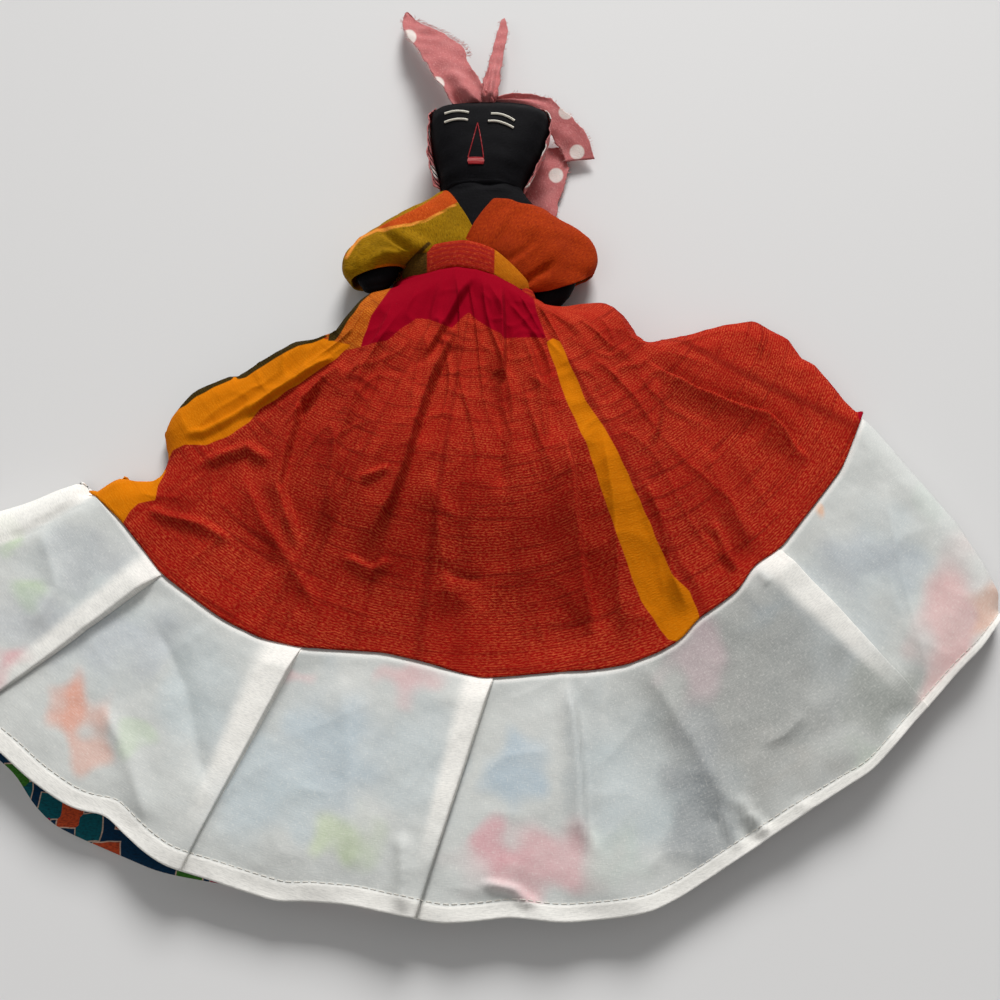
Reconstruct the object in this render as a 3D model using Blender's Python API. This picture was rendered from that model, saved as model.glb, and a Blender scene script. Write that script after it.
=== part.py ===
# Topsy turvy rag doll, lying on its back with its skirt spread out.
# Two upper bodies are sewn together at the waist, head to the top (doll a) and head to the hem (doll b),
# and a two layered skirt hangs from the waist seam: the tiered skirt of doll a outside, and the printed
# skirt of doll b inside, which hides doll b. Metres, +Z up from the table, +Y toward the head of doll a.
# Left and right are the sides as seen from above, with the head of doll a at the top.
import math

import bmesh
import bpy
import numpy as np

# Cloth and sewing
CLOTH = 0.0008  # thickness of a cloth sheet
SEAM_GAP = 0.0003  # clearance where two pieces touch
COVER_EASE = 0.0005  # clearance between a stuffed form and the cloth round it
LAYER = CLOTH + SEAM_GAP  # what one more sheet adds to a stack

# Upper bodies
WAIST_UP = 0.030  # from the origin, on the flat back of the skirt, up to the waist seam
TORSO_LENGTH = 0.030  # waist to neck
TORSO_HALF_WIDTH = 0.020
TORSO_HALF_DEPTH = 0.0095
HEAD_LENGTH = 0.038
HEAD_HALF_WIDTH = 0.0212
HEAD_HALF_DEPTH = 0.0122
NECK_DOME = 0.0030  # how far a stuffed end swells beyond its last full section
NECK_FRONT_SHARE = 0.72  # height of the nodding axis in the neck's half depth
FORM_SIDES = 36
SQUARENESS = 2.6  # exponent of the stuffed cross sections, 2 being an ellipse
LIMB_SQUARENESS = 2.2
ELLIPSE = 2.0
SMOOTH_TURN = 48.0  # degrees between two faces up to which they are shaded as one
# a rounded end: depth from the tip as a share of the dome, width as a share of the full section
END_SHARES = ((0.0, 0.18), (0.12, 0.50), (0.42, 0.82))
# share of the length from waist to neck, share of the half width, share of the half depth
TORSO_SHARES = (
    (0.00, 0.98, 0.85),
    (0.22, 1.00, 0.93),
    (0.57, 1.00, 1.00),
    (0.80, 0.96, 1.00),
    (0.91, 0.82, 0.92),
    (1.00, 0.64, 0.80),
)
# the same from the neck to the top of the head
HEAD_SHARES = (
    (0.00, 0.62, 0.68),
    (0.12, 0.74, 0.84),
    (0.32, 0.88, 0.98),
    (0.55, 0.97, 1.00),
    (0.78, 1.00, 0.94),
    (0.91, 0.95, 0.74),
    (0.98, 0.84, 0.48),
    (1.00, 0.60, 0.25),
)

# Arms: reach is measured outward and down from the shoulder to the end of the hand
ARM_HALF_WIDTH = 0.0056
ARM_HALF_DEPTH = 0.0050
ARM_DOME = 0.0034
ARM_SIDES = 14
SHOULDER_SHARE = 0.56  # of the torso's length, at the middle of the armhole
ARM_END_SHARES = ((0.0, 0.25), (0.13, 0.5), (0.40, 0.80))
HAND_SHARES = ((0.0, 1.0), (0.3, 0.98), (0.62, 0.86), (0.84, 1.06), (1.0, 0.92))
SLEEVE_HALF_WIDTH = 0.0112
SLEEVE_HALF_DEPTH = 0.0072
SLEEVE_SIDES = 18
SLEEVE_ROW_SHARES = (0.0, 0.2, 0.4, 0.6, 0.8, 1.0)
SLEEVE_BEND_SHARE = 0.78  # of the cuff's reach, where the sleeve turns down
LEFT_ARM_REACH = (0.0165, 0.0235)
LEFT_ELBOW = (0.0110, 0.0015)
LEFT_CUFF = (0.0165, 0.0185)
RIGHT_ARM_REACH = (0.0105, 0.0225)
RIGHT_ELBOW = (0.0100, 0.0020)
RIGHT_CUFF = (0.0135, 0.0190)
HAND_HEIGHT = 0.0072  # middle of the hand above the table

# Bodices and waistbands
NECKLINE_DEPTH = 0.0150  # from the neck down to the crossing of the two fronts
NECKLINE_TURN = 50.0  # degrees that a front edge turns away from the middle at the neck
BODICE_COLUMNS = 18
BAND_HEIGHT = 0.0095
BAND_ARCH = 0.0050  # how far the band's sides hang below its middle
BAND_RISE_A = 0.0030  # top edge of the first doll's band above the waist seam

# Second doll, under the skirt
HIDDEN_BAND_START = 0.0135  # from the waist seam down to its waistband
HIDDEN_ARM_LENGTH = 0.030
HIDDEN_ARM_TURN = 52.0  # degrees from its spine, toward its head
HIDDEN_ARM_ROOT = 0.0058  # radius of the rounded root, which turns against the torso
HIDDEN_ARM_EASE = 0.0001
HIDDEN_SLEEVE_START = 0.0085
HIDDEN_SLEEVE_END = 0.0235
HIDDEN_SLEEVE_HALF_WIDTH = 0.0080
HIDDEN_SLEEVE_HALF_DEPTH = 0.0064

# Head cloths
CLOTH_RISE = 14.0  # degrees that a head cloth comes forward past the side of the head
CLOTH_LOW_SHARE = 0.14  # where it starts, as a share of the head's length
KNOT_RADIUS = 0.0044
KNOT_DEPTH = 0.0036
KNOT_SIDES = 12
KNOT_RINGS = 7
RIBBON_ROWS = 8
RIBBON_COLUMNS = 4
WIDE_END_LENGTH = 0.047
WIDE_END_SWING = 0.029
WIDE_END_HALF_WIDTH = 0.0078
NARROW_END_LENGTH = 0.040
NARROW_END_SWING = 0.004
NARROW_END_HALF_WIDTH = 0.0038
# widths along each torn end, as shares of its half width
WIDE_END_SHARES = (0.35, 0.9, 1.0, 0.95, 0.3)
NARROW_END_SHARES = (0.6, 0.9, 1.0, 0.9, 0.5)
LOOP_SHARES = (0.45, 0.8, 1.0, 1.0, 0.9)
TAIL_SHARES = (0.8, 1.0, 0.95, 0.6)
HIDDEN_END_SHARES = (0.5, 0.9, 1.0, 0.4)
LOOP_REACH = 0.036
LOOP_HALF_WIDTH = 0.0070
LOOP_DROP = 0.020
TAIL_HALF_WIDTH = 0.0078
# beside and above the middle of the neck: under the side of the head, the bend, and the torn end
TAIL_START = (0.0165, 0.0210)
TAIL_BEND = (0.0290, 0.0110)
TAIL_END = (0.0262, -0.0060)
HIDDEN_END_LENGTH = 0.024
HIDDEN_END_SWING = 0.013
HIDDEN_END_HALF_WIDTH = 0.0052
HIDDEN_END_START = 0.0031  # its root's distance from the middle
CREASE = 0.0012  # height of the soft fold along a ribbon's middle

# Skirt
SEAM_RADIUS = 0.1510  # waist seam to the join of the two tiers
FLOUNCE_DEPTH = 0.0745
GATHER_HALF_WIDTH = 0.0215  # of the fan's apex
GATHER_ARCH = 0.0050
SIDE_HEIGHT = 0.0105  # top of the spread cloth above the table
SIDE_ROLL = 0.0120  # width of the rounded side fold
CROWN_HALF_WIDTH = 0.0250  # of the level part over the hidden doll
CROWN_FALL = 0.0400  # how softly the cloth falls to the sides of it
CROWN_EASE = 0.0006
CROWN_LEVEL_END = 0.0060  # level cloth kept past the hidden head
CROWN_SLOPE = 0.0480  # length over which it then comes down
PLEAT_DEPTH = 0.0034
PLEAT_SEAM_SHARE = 0.35  # of the pleat's depth, at the seam
PLEAT_SLANT = 3.6  # degrees that the middle of the flounce turns aside from seam to hem
BACK_HEM_DROP = 0.0025  # the back layer shows below the front one by this much
LEFT_EDGE_SHARES = (0.0, 0.10, 0.25, 0.46, 0.55, 0.62, 0.70, 0.85, 1.0)
LEFT_EDGE_TURNS = (72.0, 68.0, 63.0, 61.5, 55.0, 54.0, 57.0, 59.0, 60.0)
RIGHT_EDGE_SHARES = (0.0, 0.18, 0.27, 0.36, 0.46, 0.56, 0.66, 0.82, 1.0)
RIGHT_EDGE_TURNS = (46.0, 55.0, 67.0, 76.0, 73.0, 66.5, 62.0, 57.5, 53.0)
# the tier seam comes nearer to the waist on the right, where the cloth is rolled over
SEAM_PLACE_SHARES = (-1.0, -0.1, 0.05, 0.42, 0.60, 0.80, 1.0)
SEAM_RADIUS_SHARES = (1.0, 0.985, 1.0, 1.0, 0.945, 0.91, 0.88)
ROW_SHARES = (0.0, 0.04, 0.10, 0.20, 0.32, 0.44, 0.56, 0.68, 0.80, 0.91, 1.0)
FLOUNCE_ROW_SHARES = (0.0, 0.2, 0.4, 0.6, 0.8, 1.0)
# places across the fan, from its left edge at -1 to its right edge at 1
COLUMN_SHARES = (
    -1.0, -0.99, -0.97, -0.93, -0.87, -0.80, -0.74, -0.69, -0.678, -0.62, -0.55, -0.48, -0.42, -0.375,
    -0.363, -0.30, -0.24, -0.17, -0.11, -0.05, 0.0, 0.04, 0.052, 0.12, 0.19, 0.25, 0.32, 0.38, 0.44,
    0.50, 0.56, 0.62, 0.70, 0.712, 0.78, 0.85, 0.90, 0.94, 0.97, 0.99, 1.0,
)  # fmt: skip
BACK_COLUMN_SHARES = (-1.0, -0.8, -0.6, -0.4, -0.2, 0.0, 0.2, 0.4, 0.6, 0.8, 1.0)
# knife pleats of the flounce: place of the edge, width of the rising side, width of the drop
PLEAT_SHARES = (
    (-0.69, 0.18, 0.012),
    (-0.375, 0.14, 0.012),
    (0.04, 0.12, 0.012),
    (0.70, 0.16, 0.012),
)
# main folds of the outer skirt: place, half width, height as a share of FOLD_HEIGHT, first and last radius
FOLD_HEIGHT = 0.0055
FOLD_SHARES = (
    (-0.80, 0.08, 0.8, 0.15, 0.70),
    (-0.55, 0.10, 1.0, 0.12, 0.80),
    (-0.24, 0.09, 0.6, 0.05, 0.62),
    (0.12, 0.08, 0.7, 0.30, 1.05),
    (0.32, 0.09, 0.8, 0.08, 0.72),
    (0.56, 0.10, 1.3, 0.16, 0.90),
    (0.85, 0.09, 0.9, 0.20, 0.95),
)

# Worked out from the sizes above
TORSO_HEIGHT_A = TORSO_HALF_DEPTH + COVER_EASE + CLOTH + LAYER
HEAD_HEIGHT_A = HEAD_HALF_DEPTH + COVER_EASE + CLOTH
SKIRT_FLOOR = 2 * LAYER  # top of the two back layers, with the gap above them
TORSO_HEIGHT_B = SKIRT_FLOOR + TORSO_HEIGHT_A
HEAD_HEIGHT_B = SKIRT_FLOOR + HEAD_HEIGHT_A
BAND_BELOW_WAIST = BAND_HEIGHT - BAND_RISE_A
SKIRT_TOP = BAND_BELOW_WAIST + 2 * LAYER  # front of the skirt's top edge below the waist seam
HIDDEN_BAND_END = HIDDEN_BAND_START + BAND_HEIGHT
HIDDEN_NECK = HIDDEN_BAND_START + TORSO_LENGTH
HIDDEN_HEAD_TOP = HIDDEN_NECK + HEAD_LENGTH
HEM_RADIUS = SEAM_RADIUS + FLOUNCE_DEPTH
FRONT_STACK = CLOTH + LAYER  # thickness of the two front layers
CROWN_HEIGHT = HEAD_HEIGHT_B + HEAD_HALF_DEPTH + CROWN_EASE + FRONT_STACK

BLACK_COTTON = ((0.004, 0.004, 0.005), 0.85)
OLIVE_PLAID = ((0.20, 0.13, 0.01), 0.85)
ORANGE_PLAID = ((0.50, 0.07, 0.01), 0.85)
RED_BAND = ((0.42, 0.04, 0.01), 0.85)
RED_MADRAS = ((0.40, 0.03, 0.01), 0.88)
WHITE_COTTON = ((0.70, 0.69, 0.66), 0.80)
PRINT_COTTON = ((0.02, 0.05, 0.10), 0.80)
PINK_VOILE = ((0.62, 0.20, 0.20), 0.80)


def clear_scene():
    for old in list(bpy.data.objects):
        bpy.data.objects.remove(old, do_unlink=True)


def material(name, look):
    colour, roughness = look
    made = bpy.data.materials.new(name)
    made.use_nodes = True
    shader = made.node_tree.nodes["Principled BSDF"]
    shader.inputs["Base Color"].default_value = (*colour, 1.0)
    shader.inputs["Roughness"].default_value = roughness
    shader.inputs["Metallic"].default_value = 0.0
    return made


def add_object(name, points, faces, look, root, pivot=(0.0, 0.0, 0.0)):
    """One closed mesh object, with its own origin at the pivot."""
    mesh = bpy.data.meshes.new(name)
    mesh.from_pydata((np.asarray(points) - np.asarray(pivot)).tolist(), [], faces)
    shape = bmesh.new()
    shape.from_mesh(mesh)
    bmesh.ops.recalc_face_normals(shape, faces=shape.faces)
    shape.to_mesh(mesh)
    shape.free()
    mesh.shade_smooth()
    mesh.set_sharp_from_angle(angle=math.radians(SMOOTH_TURN))
    mesh.materials.append(material(name, look))
    made = bpy.data.objects.new(name, mesh)
    made.location = pivot
    made.parent = root
    bpy.context.scene.collection.objects.link(made)
    return made


def grid_faces(rows, columns, wrapped, holes):
    """Triangles of a grid, always cut along the same diagonal, without the cells in holes."""
    faces = []
    for row in range(rows - 1):
        for column in range(columns if wrapped else columns - 1):
            if (row, column) in holes:
                continue
            after = (column + 1) % columns
            a, b = row * columns + column, row * columns + after
            c, d = (row + 1) * columns + after, (row + 1) * columns + column
            faces += [(a, b, c), (a, c, d)]
    return faces


def border_edges(faces):
    """The edges that only one face uses, each in that face's own direction."""
    used = set()
    for a, b, c in faces:
        used.update(((a, b), (b, c), (c, a)))
    return sorted(edge for edge in used if edge[::-1] not in used)


def sheet(name, upper, lower, look, root, pivot=(0.0, 0.0, 0.0), wrapped=False, holes=()):
    """A cloth sheet between two grids of points, closed along its borders."""
    rows, columns = upper.shape[:2]
    faces = grid_faces(rows, columns, wrapped, set(holes))
    kept = sorted({corner for face in faces for corner in face})
    place = {corner: index for index, corner in enumerate(kept)}
    shift = len(kept)
    points = np.concatenate([upper.reshape(-1, 3)[kept], lower.reshape(-1, 3)[kept]])
    top = [tuple(place[corner] for corner in face) for face in faces]
    bottom = [tuple(shift + corner for corner in reversed(face)) for face in top]
    sides = []
    for a, b in border_edges(top):
        sides += [(b, a, shift + a), (b, shift + a, shift + b)]
    return add_object(name, points, top + bottom + sides, look, root, pivot)


def loft(name, rings, look, root, pivot=(0.0, 0.0, 0.0)):
    """A solid through closed rings, ended by a face over the first and the last."""
    rings = np.asarray(rings)
    count, sides = rings.shape[:2]
    faces = grid_faces(count, sides, True, set())
    faces.append(tuple(range(sides))[::-1])
    faces.append(tuple(range((count - 1) * sides, count * sides)))
    return add_object(name, rings.reshape(-1, 3), faces, look, root, pivot)


def section(turns, squareness):
    """Unit cross section of a stuffed form at these angles in degrees, 90 being the front."""
    angle = np.radians(np.asarray(turns, float))
    x, z = np.cos(angle), np.sin(angle)
    power = 2.0 / squareness
    return np.sign(x) * np.abs(x) ** power, np.sign(z) * np.abs(z) ** power


def even_turns(sides):
    return [360.0 * side / sides for side in range(sides)]


def upright_ring(spine, along, half_width, half_depth, height, turns, squareness=SQUARENESS):
    """A cross section that stands square to the doll's spine. spine is 1 for doll a, -1 for doll b."""
    x, z = section(turns, squareness)
    y = np.full(len(x), WAIST_UP + spine * along)
    return np.stack([half_width * x, y, height + half_depth * z], axis=1)


def at_place(stations, place):
    places = [station[0] for station in stations]
    return tuple(np.interp(place, places, [s[index] for s in stations]) for index in (1, 2))


def rounded_start(stations, dome):
    """Rounds the first stretch of stations of (place, half width, half depth), inside its own length."""
    place, wide, deep = stations[0]
    tip = [(place + dome * depth, wide * share, deep * share) for depth, share in END_SHARES]
    full = place + dome
    return tip + [(full, *at_place(stations, full))] + [s for s in stations if s[0] > full]


def rounded_end(stations, dome):
    """The same for the last stretch."""
    place, wide, deep = stations[-1]
    tip = [(place - dome * depth, wide * share, deep * share) for depth, share in reversed(END_SHARES)]
    full = place - dome
    return [s for s in stations if s[0] < full] + [(full, *at_place(stations, full))] + tip


def torso_stations(neck):
    """From the waist seam to the neck. The stretch below the shaped length keeps the waist's section."""
    shaped = [
        (neck - TORSO_LENGTH * (1.0 - share), TORSO_HALF_WIDTH * wide, TORSO_HALF_DEPTH * deep)
        for share, wide, deep in TORSO_SHARES
    ]
    waist = shaped[0][1:]
    if neck > TORSO_LENGTH:
        return [(SEAM_GAP / 2, *waist), (BAND_BELOW_WAIST, *waist)] + shaped
    return [(SEAM_GAP / 2, *waist)] + shaped[1:]


def spine_height(spine, along):
    """Middle of the body above the table: doll b climbs onto the skirt's back layers below the waist."""
    if spine > 0:
        return TORSO_HEIGHT_A
    return np.interp(along, (BAND_BELOW_WAIST, HIDDEN_BAND_START), (TORSO_HEIGHT_A, TORSO_HEIGHT_B))


def head_stations(neck):
    return [
        (neck + HEAD_LENGTH * share, HEAD_HALF_WIDTH * wide, HEAD_HALF_DEPTH * deep)
        for share, wide, deep in HEAD_SHARES
    ]


def shoulder_place(neck):
    return neck - TORSO_LENGTH * (1.0 - SHOULDER_SHARE)


def armhole(neck):
    middle = shoulder_place(neck)
    reach = ARM_HALF_WIDTH + 2 * COVER_EASE
    return middle - reach, middle + reach


def make_torso(name, spine, neck, root):
    stations = torso_stations(neck)
    stations[-1] = (neck - SEAM_GAP / 2, *stations[-1][1:])
    rings = [
        upright_ring(spine, along, wide, deep, spine_height(spine, along), even_turns(FORM_SIDES))
        for along, wide, deep in rounded_end(stations, NECK_DOME)
    ]
    return loft(name, rings, BLACK_COTTON, root)


def make_head(name, spine, neck, height, pivot, root):
    stations = head_stations(neck + SEAM_GAP / 2)
    rings = [
        upright_ring(spine, along, wide, deep, height, even_turns(FORM_SIDES))
        for along, wide, deep in rounded_start(stations, NECK_DOME)
    ]
    return loft(name, rings, BLACK_COTTON, root, pivot)


def cover_rows(stations, extra, first, last):
    """Places along the spine for a cloth over a form: the form's own, with the ends and any extra ones."""
    places = {first, last, *extra}
    places.update(station[0] for station in stations if first < station[0] < last)
    return sorted(place for place in places if first <= place <= last)


def make_bodice_half(name, spine, side, neck, low, height, look, root):
    """One half of a wrapped bodice: it runs from the front's middle round one side to the back's."""
    stations = torso_stations(neck)
    hole_low, hole_high = armhole(neck)
    top = neck - NECK_DOME - SEAM_GAP
    crossing = neck - NECKLINE_DEPTH
    rows = cover_rows(stations, (hole_low, hole_high, crossing), low, top)
    middle_turn = math.degrees(SEAM_GAP / TORSO_HALF_WIDTH)
    grids = {}
    for layer, offset in (("upper", COVER_EASE + CLOTH), ("lower", COVER_EASE)):
        rings = []
        for along in rows:
            wide, deep = at_place(stations, along)
            opening = NECKLINE_TURN * max(0.0, (along - crossing) / (top - crossing))
            turns = np.linspace(90.0 + middle_turn + opening, 270.0 - middle_turn, BODICE_COLUMNS + 1)
            ring = upright_ring(spine, along, wide + offset, deep + offset, height, turns)
            ring[:, 0] *= -side
            rings.append(ring)
        grids[layer] = np.asarray(rings)
    hole_rows = range(rows.index(hole_low), rows.index(hole_high))
    edge = BODICE_COLUMNS // 3
    hole_columns = range(edge, BODICE_COLUMNS - edge)
    holes = [(row, column) for row in hole_rows for column in hole_columns]
    return sheet(name, grids["upper"], grids["lower"], look, root, holes=holes)


def make_waistband(name, spine, low, high, arch, neck, height, look, root):
    """A closed band round the bodice, arched so that its middle lies higher than its sides."""
    stations = torso_stations(neck)
    turns = even_turns(FORM_SIDES)
    drop = arch * (1.0 - np.maximum(0.0, np.sin(np.radians(turns))))
    grids = []
    for offset in (COVER_EASE + LAYER + CLOTH, COVER_EASE + LAYER):
        rings = []
        for along in (low, (low + high) / 2, high):
            wide, deep = at_place(stations, max(along, 0.0))
            ring = upright_ring(spine, along, wide + offset, deep + offset, height, turns)
            ring[:, 1] -= drop
            rings.append(ring)
        grids.append(np.asarray(rings))
    return sheet(name, grids[0], grids[1], look, root, wrapped=True)


def curve_point(ends, share):
    """A point and direction on the curve from the first to the last point, drawn toward the middle one."""
    a, b, c = (np.asarray(point, float) for point in ends)
    point = (1 - share) ** 2 * a + 2 * share * (1 - share) * b + share**2 * c
    direction = 2 * (1 - share) * (b - a) + 2 * share * (c - b)
    return point, direction / np.linalg.norm(direction)


def limb_ring(ends, share, half_width, half_depth, sides, back=0.0):
    """A cross section square to a limb's curve, moved back along it by the given length."""
    point, direction = curve_point(ends, share)
    point = point - direction * back
    flat = np.array([direction[0], direction[1], 0.0])
    flat = flat / np.linalg.norm(flat)
    across = np.array([-flat[1], flat[0], 0.0])
    x, z = section(even_turns(sides), LIMB_SQUARENESS)
    up = np.array([0.0, 0.0, 1.0])
    return point + np.outer(half_width * x, across) + np.outer(half_depth * z, up)


def make_arm(name, ends, root_dome, pivot, root):
    """A stuffed arm: a rounded root, a slight wrist and a mitten end."""
    rings = []
    for depth, wide in ARM_END_SHARES:
        back = root_dome * (1.0 - depth)
        rings.append(limb_ring(ends, 0.0, ARM_HALF_WIDTH * wide, ARM_HALF_DEPTH * wide, ARM_SIDES, back))
    for share, wide in HAND_SHARES:
        rings.append(limb_ring(ends, share, ARM_HALF_WIDTH * wide, ARM_HALF_DEPTH * wide, ARM_SIDES))
    last = HAND_SHARES[-1][1]
    for depth, wide in reversed(ARM_END_SHARES):
        back = -ARM_DOME * (1.0 - depth)
        half_width = ARM_HALF_WIDTH * wide * last
        half_depth = ARM_HALF_DEPTH * wide * last
        rings.append(limb_ring(ends, 1.0, half_width, half_depth, ARM_SIDES, back))
    return loft(name, rings, BLACK_COTTON, root, pivot)


def make_sleeve(name, ends, half_width, half_depth, look, pivot, root):
    """An open tube of cloth round the arm."""
    grids = []
    for inset in (0.0, CLOTH):
        wide, deep = half_width - inset, half_depth - inset
        rings = [limb_ring(ends, share, wide, deep, SLEEVE_SIDES) for share in SLEEVE_ROW_SHARES]
        grids.append(np.asarray(rings))
    return sheet(name, grids[0], grids[1], look, root, pivot, wrapped=True)


def make_ribbon(name, ends, half_width, width_shares, look, pivot, root):
    """A flat strip of cloth along a curve, with a soft fold along its middle."""
    top = np.zeros((RIBBON_ROWS + 1, RIBBON_COLUMNS + 1, 3))
    across_places = np.linspace(-1.0, 1.0, RIBBON_COLUMNS + 1)
    share_places = np.linspace(0.0, 1.0, len(width_shares))
    for row in range(RIBBON_ROWS + 1):
        share = row / RIBBON_ROWS
        point, direction = curve_point(ends, share)
        flat = np.array([direction[0], direction[1], 0.0])
        flat = flat / np.linalg.norm(flat)
        across = np.array([-flat[1], flat[0], 0.0])
        wide = half_width * np.interp(share, share_places, width_shares)
        for column, place in enumerate(across_places):
            fold = CREASE * (1.0 - abs(place))
            top[row, column] = point + across * wide * place + np.array([0.0, 0.0, fold])
    bottom = top.copy()
    bottom[:, :, 2] -= CLOTH
    return sheet(name, top, bottom, look, root, pivot)


def make_head_cloth(name, spine, neck, height, pivot, root):
    """The cloth round the back of the head, from one side of the face to the other."""
    stations = head_stations(neck + SEAM_GAP / 2)
    first = neck + HEAD_LENGTH * CLOTH_LOW_SHARE
    rows = cover_rows(stations, (), first, stations[-2][0])
    turns = np.linspace(180.0 - CLOTH_RISE, 360.0 + CLOTH_RISE, FORM_SIDES // 2 + 3)
    grids = []
    for offset in (COVER_EASE + CLOTH, COVER_EASE):
        rings = []
        for along in rows:
            wide, deep = at_place(stations, along)
            rings.append(upright_ring(spine, along, wide + offset, deep + offset, height, turns))
        grids.append(np.asarray(rings))
    return sheet(name, grids[0], grids[1], PINK_VOILE, root, pivot)


def make_knot(name, spine, head_top, height, pivot, root):
    """The knot on top of the head, a small rounded bundle."""
    rings = []
    first = head_top + COVER_EASE
    for step in range(KNOT_RINGS):
        turn = math.pi * (step + 0.5) / KNOT_RINGS
        along = first + KNOT_RADIUS * (1.0 - math.cos(turn))
        wide = KNOT_RADIUS * math.sin(turn)
        deep = KNOT_DEPTH * math.sin(turn)
        rings.append(upright_ring(spine, along, wide, deep, height, even_turns(KNOT_SIDES), ELLIPSE))
    return loft(name, rings, PINK_VOILE, root, pivot)


def edge_turns(radius_share):
    left = -np.interp(radius_share, LEFT_EDGE_SHARES, LEFT_EDGE_TURNS)
    right = np.interp(radius_share, RIGHT_EDGE_SHARES, RIGHT_EDGE_TURNS)
    return left, right


def seam_radius(place):
    return SEAM_RADIUS * np.interp(place, SEAM_PLACE_SHARES, SEAM_RADIUS_SHARES)


def fan_point(place, radius):
    """Plan position on the spread skirt: place runs -1 to 1 across it, radius from the waist seam."""
    share = radius / HEM_RADIUS
    left, right = edge_turns(share)
    past_seam = max(0.0, (radius - seam_radius(place)) / FLOUNCE_DEPTH)
    turn = left + (right - left) * (place + 1.0) / 2.0 - PLEAT_SLANT * (1.0 - place**2) * past_seam
    turn = math.radians(turn)
    x = radius * math.sin(turn) + (1.0 - share) * GATHER_HALF_WIDTH * place
    y = -radius * math.cos(turn) - (1.0 - share) * GATHER_ARCH * place**2
    return x, y


def crown(x, y):
    """Top of the cloth above the table, before its side folds: level over the hidden doll."""
    waist_depth = TORSO_HALF_DEPTH * TORSO_SHARES[0][2]
    waist_top = spine_height(-1, SKIRT_TOP) + waist_depth + CROWN_EASE + FRONT_STACK
    band_top = TORSO_HEIGHT_B + TORSO_HALF_DEPTH + COVER_EASE + 2 * LAYER + CROWN_EASE + FRONT_STACK
    level_end = HIDDEN_HEAD_TOP + CROWN_LEVEL_END
    places = (SKIRT_TOP, HIDDEN_BAND_START - CLOTH, HIDDEN_BAND_END, HIDDEN_NECK, level_end,
              level_end + CROWN_SLOPE)  # fmt: skip
    heights = (waist_top, band_top, band_top, CROWN_HEIGHT, CROWN_HEIGHT, SIDE_HEIGHT)
    middle = np.interp(-y, places, heights)
    beside = max(0.0, abs(x) - CROWN_HALF_WIDTH) / CROWN_FALL
    return SIDE_HEIGHT + (middle - SIDE_HEIGHT) * math.exp(-(beside**2))


def fold_lift(place, radius):
    """What the skirt's main folds and the flounce's knife pleats add to its height."""
    share = radius / HEM_RADIUS
    lift = 0.0
    for middle, half_width, height, first, last in FOLD_SHARES:
        off = abs(place - middle) / half_width
        if off < 1.0 and first < share < last:
            length = math.sin(math.pi * (share - first) / (last - first))
            lift += FOLD_HEIGHT * height * length * math.cos(off * math.pi / 2) ** 2
    past_seam = max(0.0, (radius - seam_radius(place)) / FLOUNCE_DEPTH)
    depth = PLEAT_DEPTH * min(1.0, PLEAT_SEAM_SHARE + past_seam) if past_seam > 0 else 0.0
    for edge, rise, drop in PLEAT_SHARES:
        lift += depth * np.interp(place, (edge - rise, edge, edge + drop), (0.0, 1.0, 0.0))
    return lift


def front_height(place, radius, x, y):
    """Top of the outer front layer, which rolls down to the back layer at both sides."""
    left, right = edge_turns(radius / HEM_RADIUS)
    turn = math.radians(abs(left) if place < 0 else right)
    half_width = radius * math.sin(turn) + GATHER_HALF_WIDTH * (1.0 - radius / HEM_RADIUS)
    inward = min(1.0, (1.0 - abs(place)) * half_width / SIDE_ROLL)
    roll = math.sqrt(1.0 - (1.0 - inward) ** 2)
    full = crown(x, y) + fold_lift(place, radius)
    return FRONT_STACK + roll * (full - FRONT_STACK)


def tier_radii(place, tier):
    """Radii of a tier's rows at one place across the fan."""
    seam = seam_radius(place)
    skirt = [SKIRT_TOP + (seam - SEAM_GAP / 2 - SKIRT_TOP) * share for share in ROW_SHARES]
    first = seam + SEAM_GAP / 2
    flounce = [first + (seam + FLOUNCE_DEPTH - first) * share for share in FLOUNCE_ROW_SHARES]
    return {"skirt": skirt, "flounce": flounce, "both": skirt + flounce[1:]}[tier]


def make_front(name, tier, columns, layer, look, root):
    """A front layer. Layer 0 is the outer one, and layer 1 the one sewn inside it."""
    top = []
    for index, place in enumerate(columns):
        line = []
        for radius in tier_radii(place, tier):
            x, y = fan_point(place, radius)
            height = front_height(place, radius, x, y) - layer * LAYER
            if index in (0, len(columns) - 1):
                height = (layer + 1) * LAYER + CLOTH
            line.append((x, WAIST_UP + y, height))
        top.append(line)
    top = np.asarray(top).transpose(1, 0, 2)
    bottom = top.copy()
    bottom[:, :, 2] -= CLOTH
    return sheet(name, top, bottom, look, root)


def make_back(name, tier, columns, layer, look, root):
    """A back layer, which lies flat."""
    floor = layer * LAYER
    bottom = []
    for place in columns:
        line = []
        radii = tier_radii(place, tier)
        for row, radius in enumerate(radii):
            hem = tier != "skirt" and row == len(radii) - 1
            x, y = fan_point(place, radius + (BACK_HEM_DROP if hem else 0.0))
            if row == 0 and tier != "flounce":
                y = min(y, -SKIRT_TOP - BAND_ARCH)
            line.append((x, WAIST_UP + y, floor))
        bottom.append(line)
    bottom = np.asarray(bottom).transpose(1, 0, 2)
    top = bottom.copy()
    top[:, :, 2] += CLOTH
    return sheet(name, top, bottom, look, root)


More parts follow.
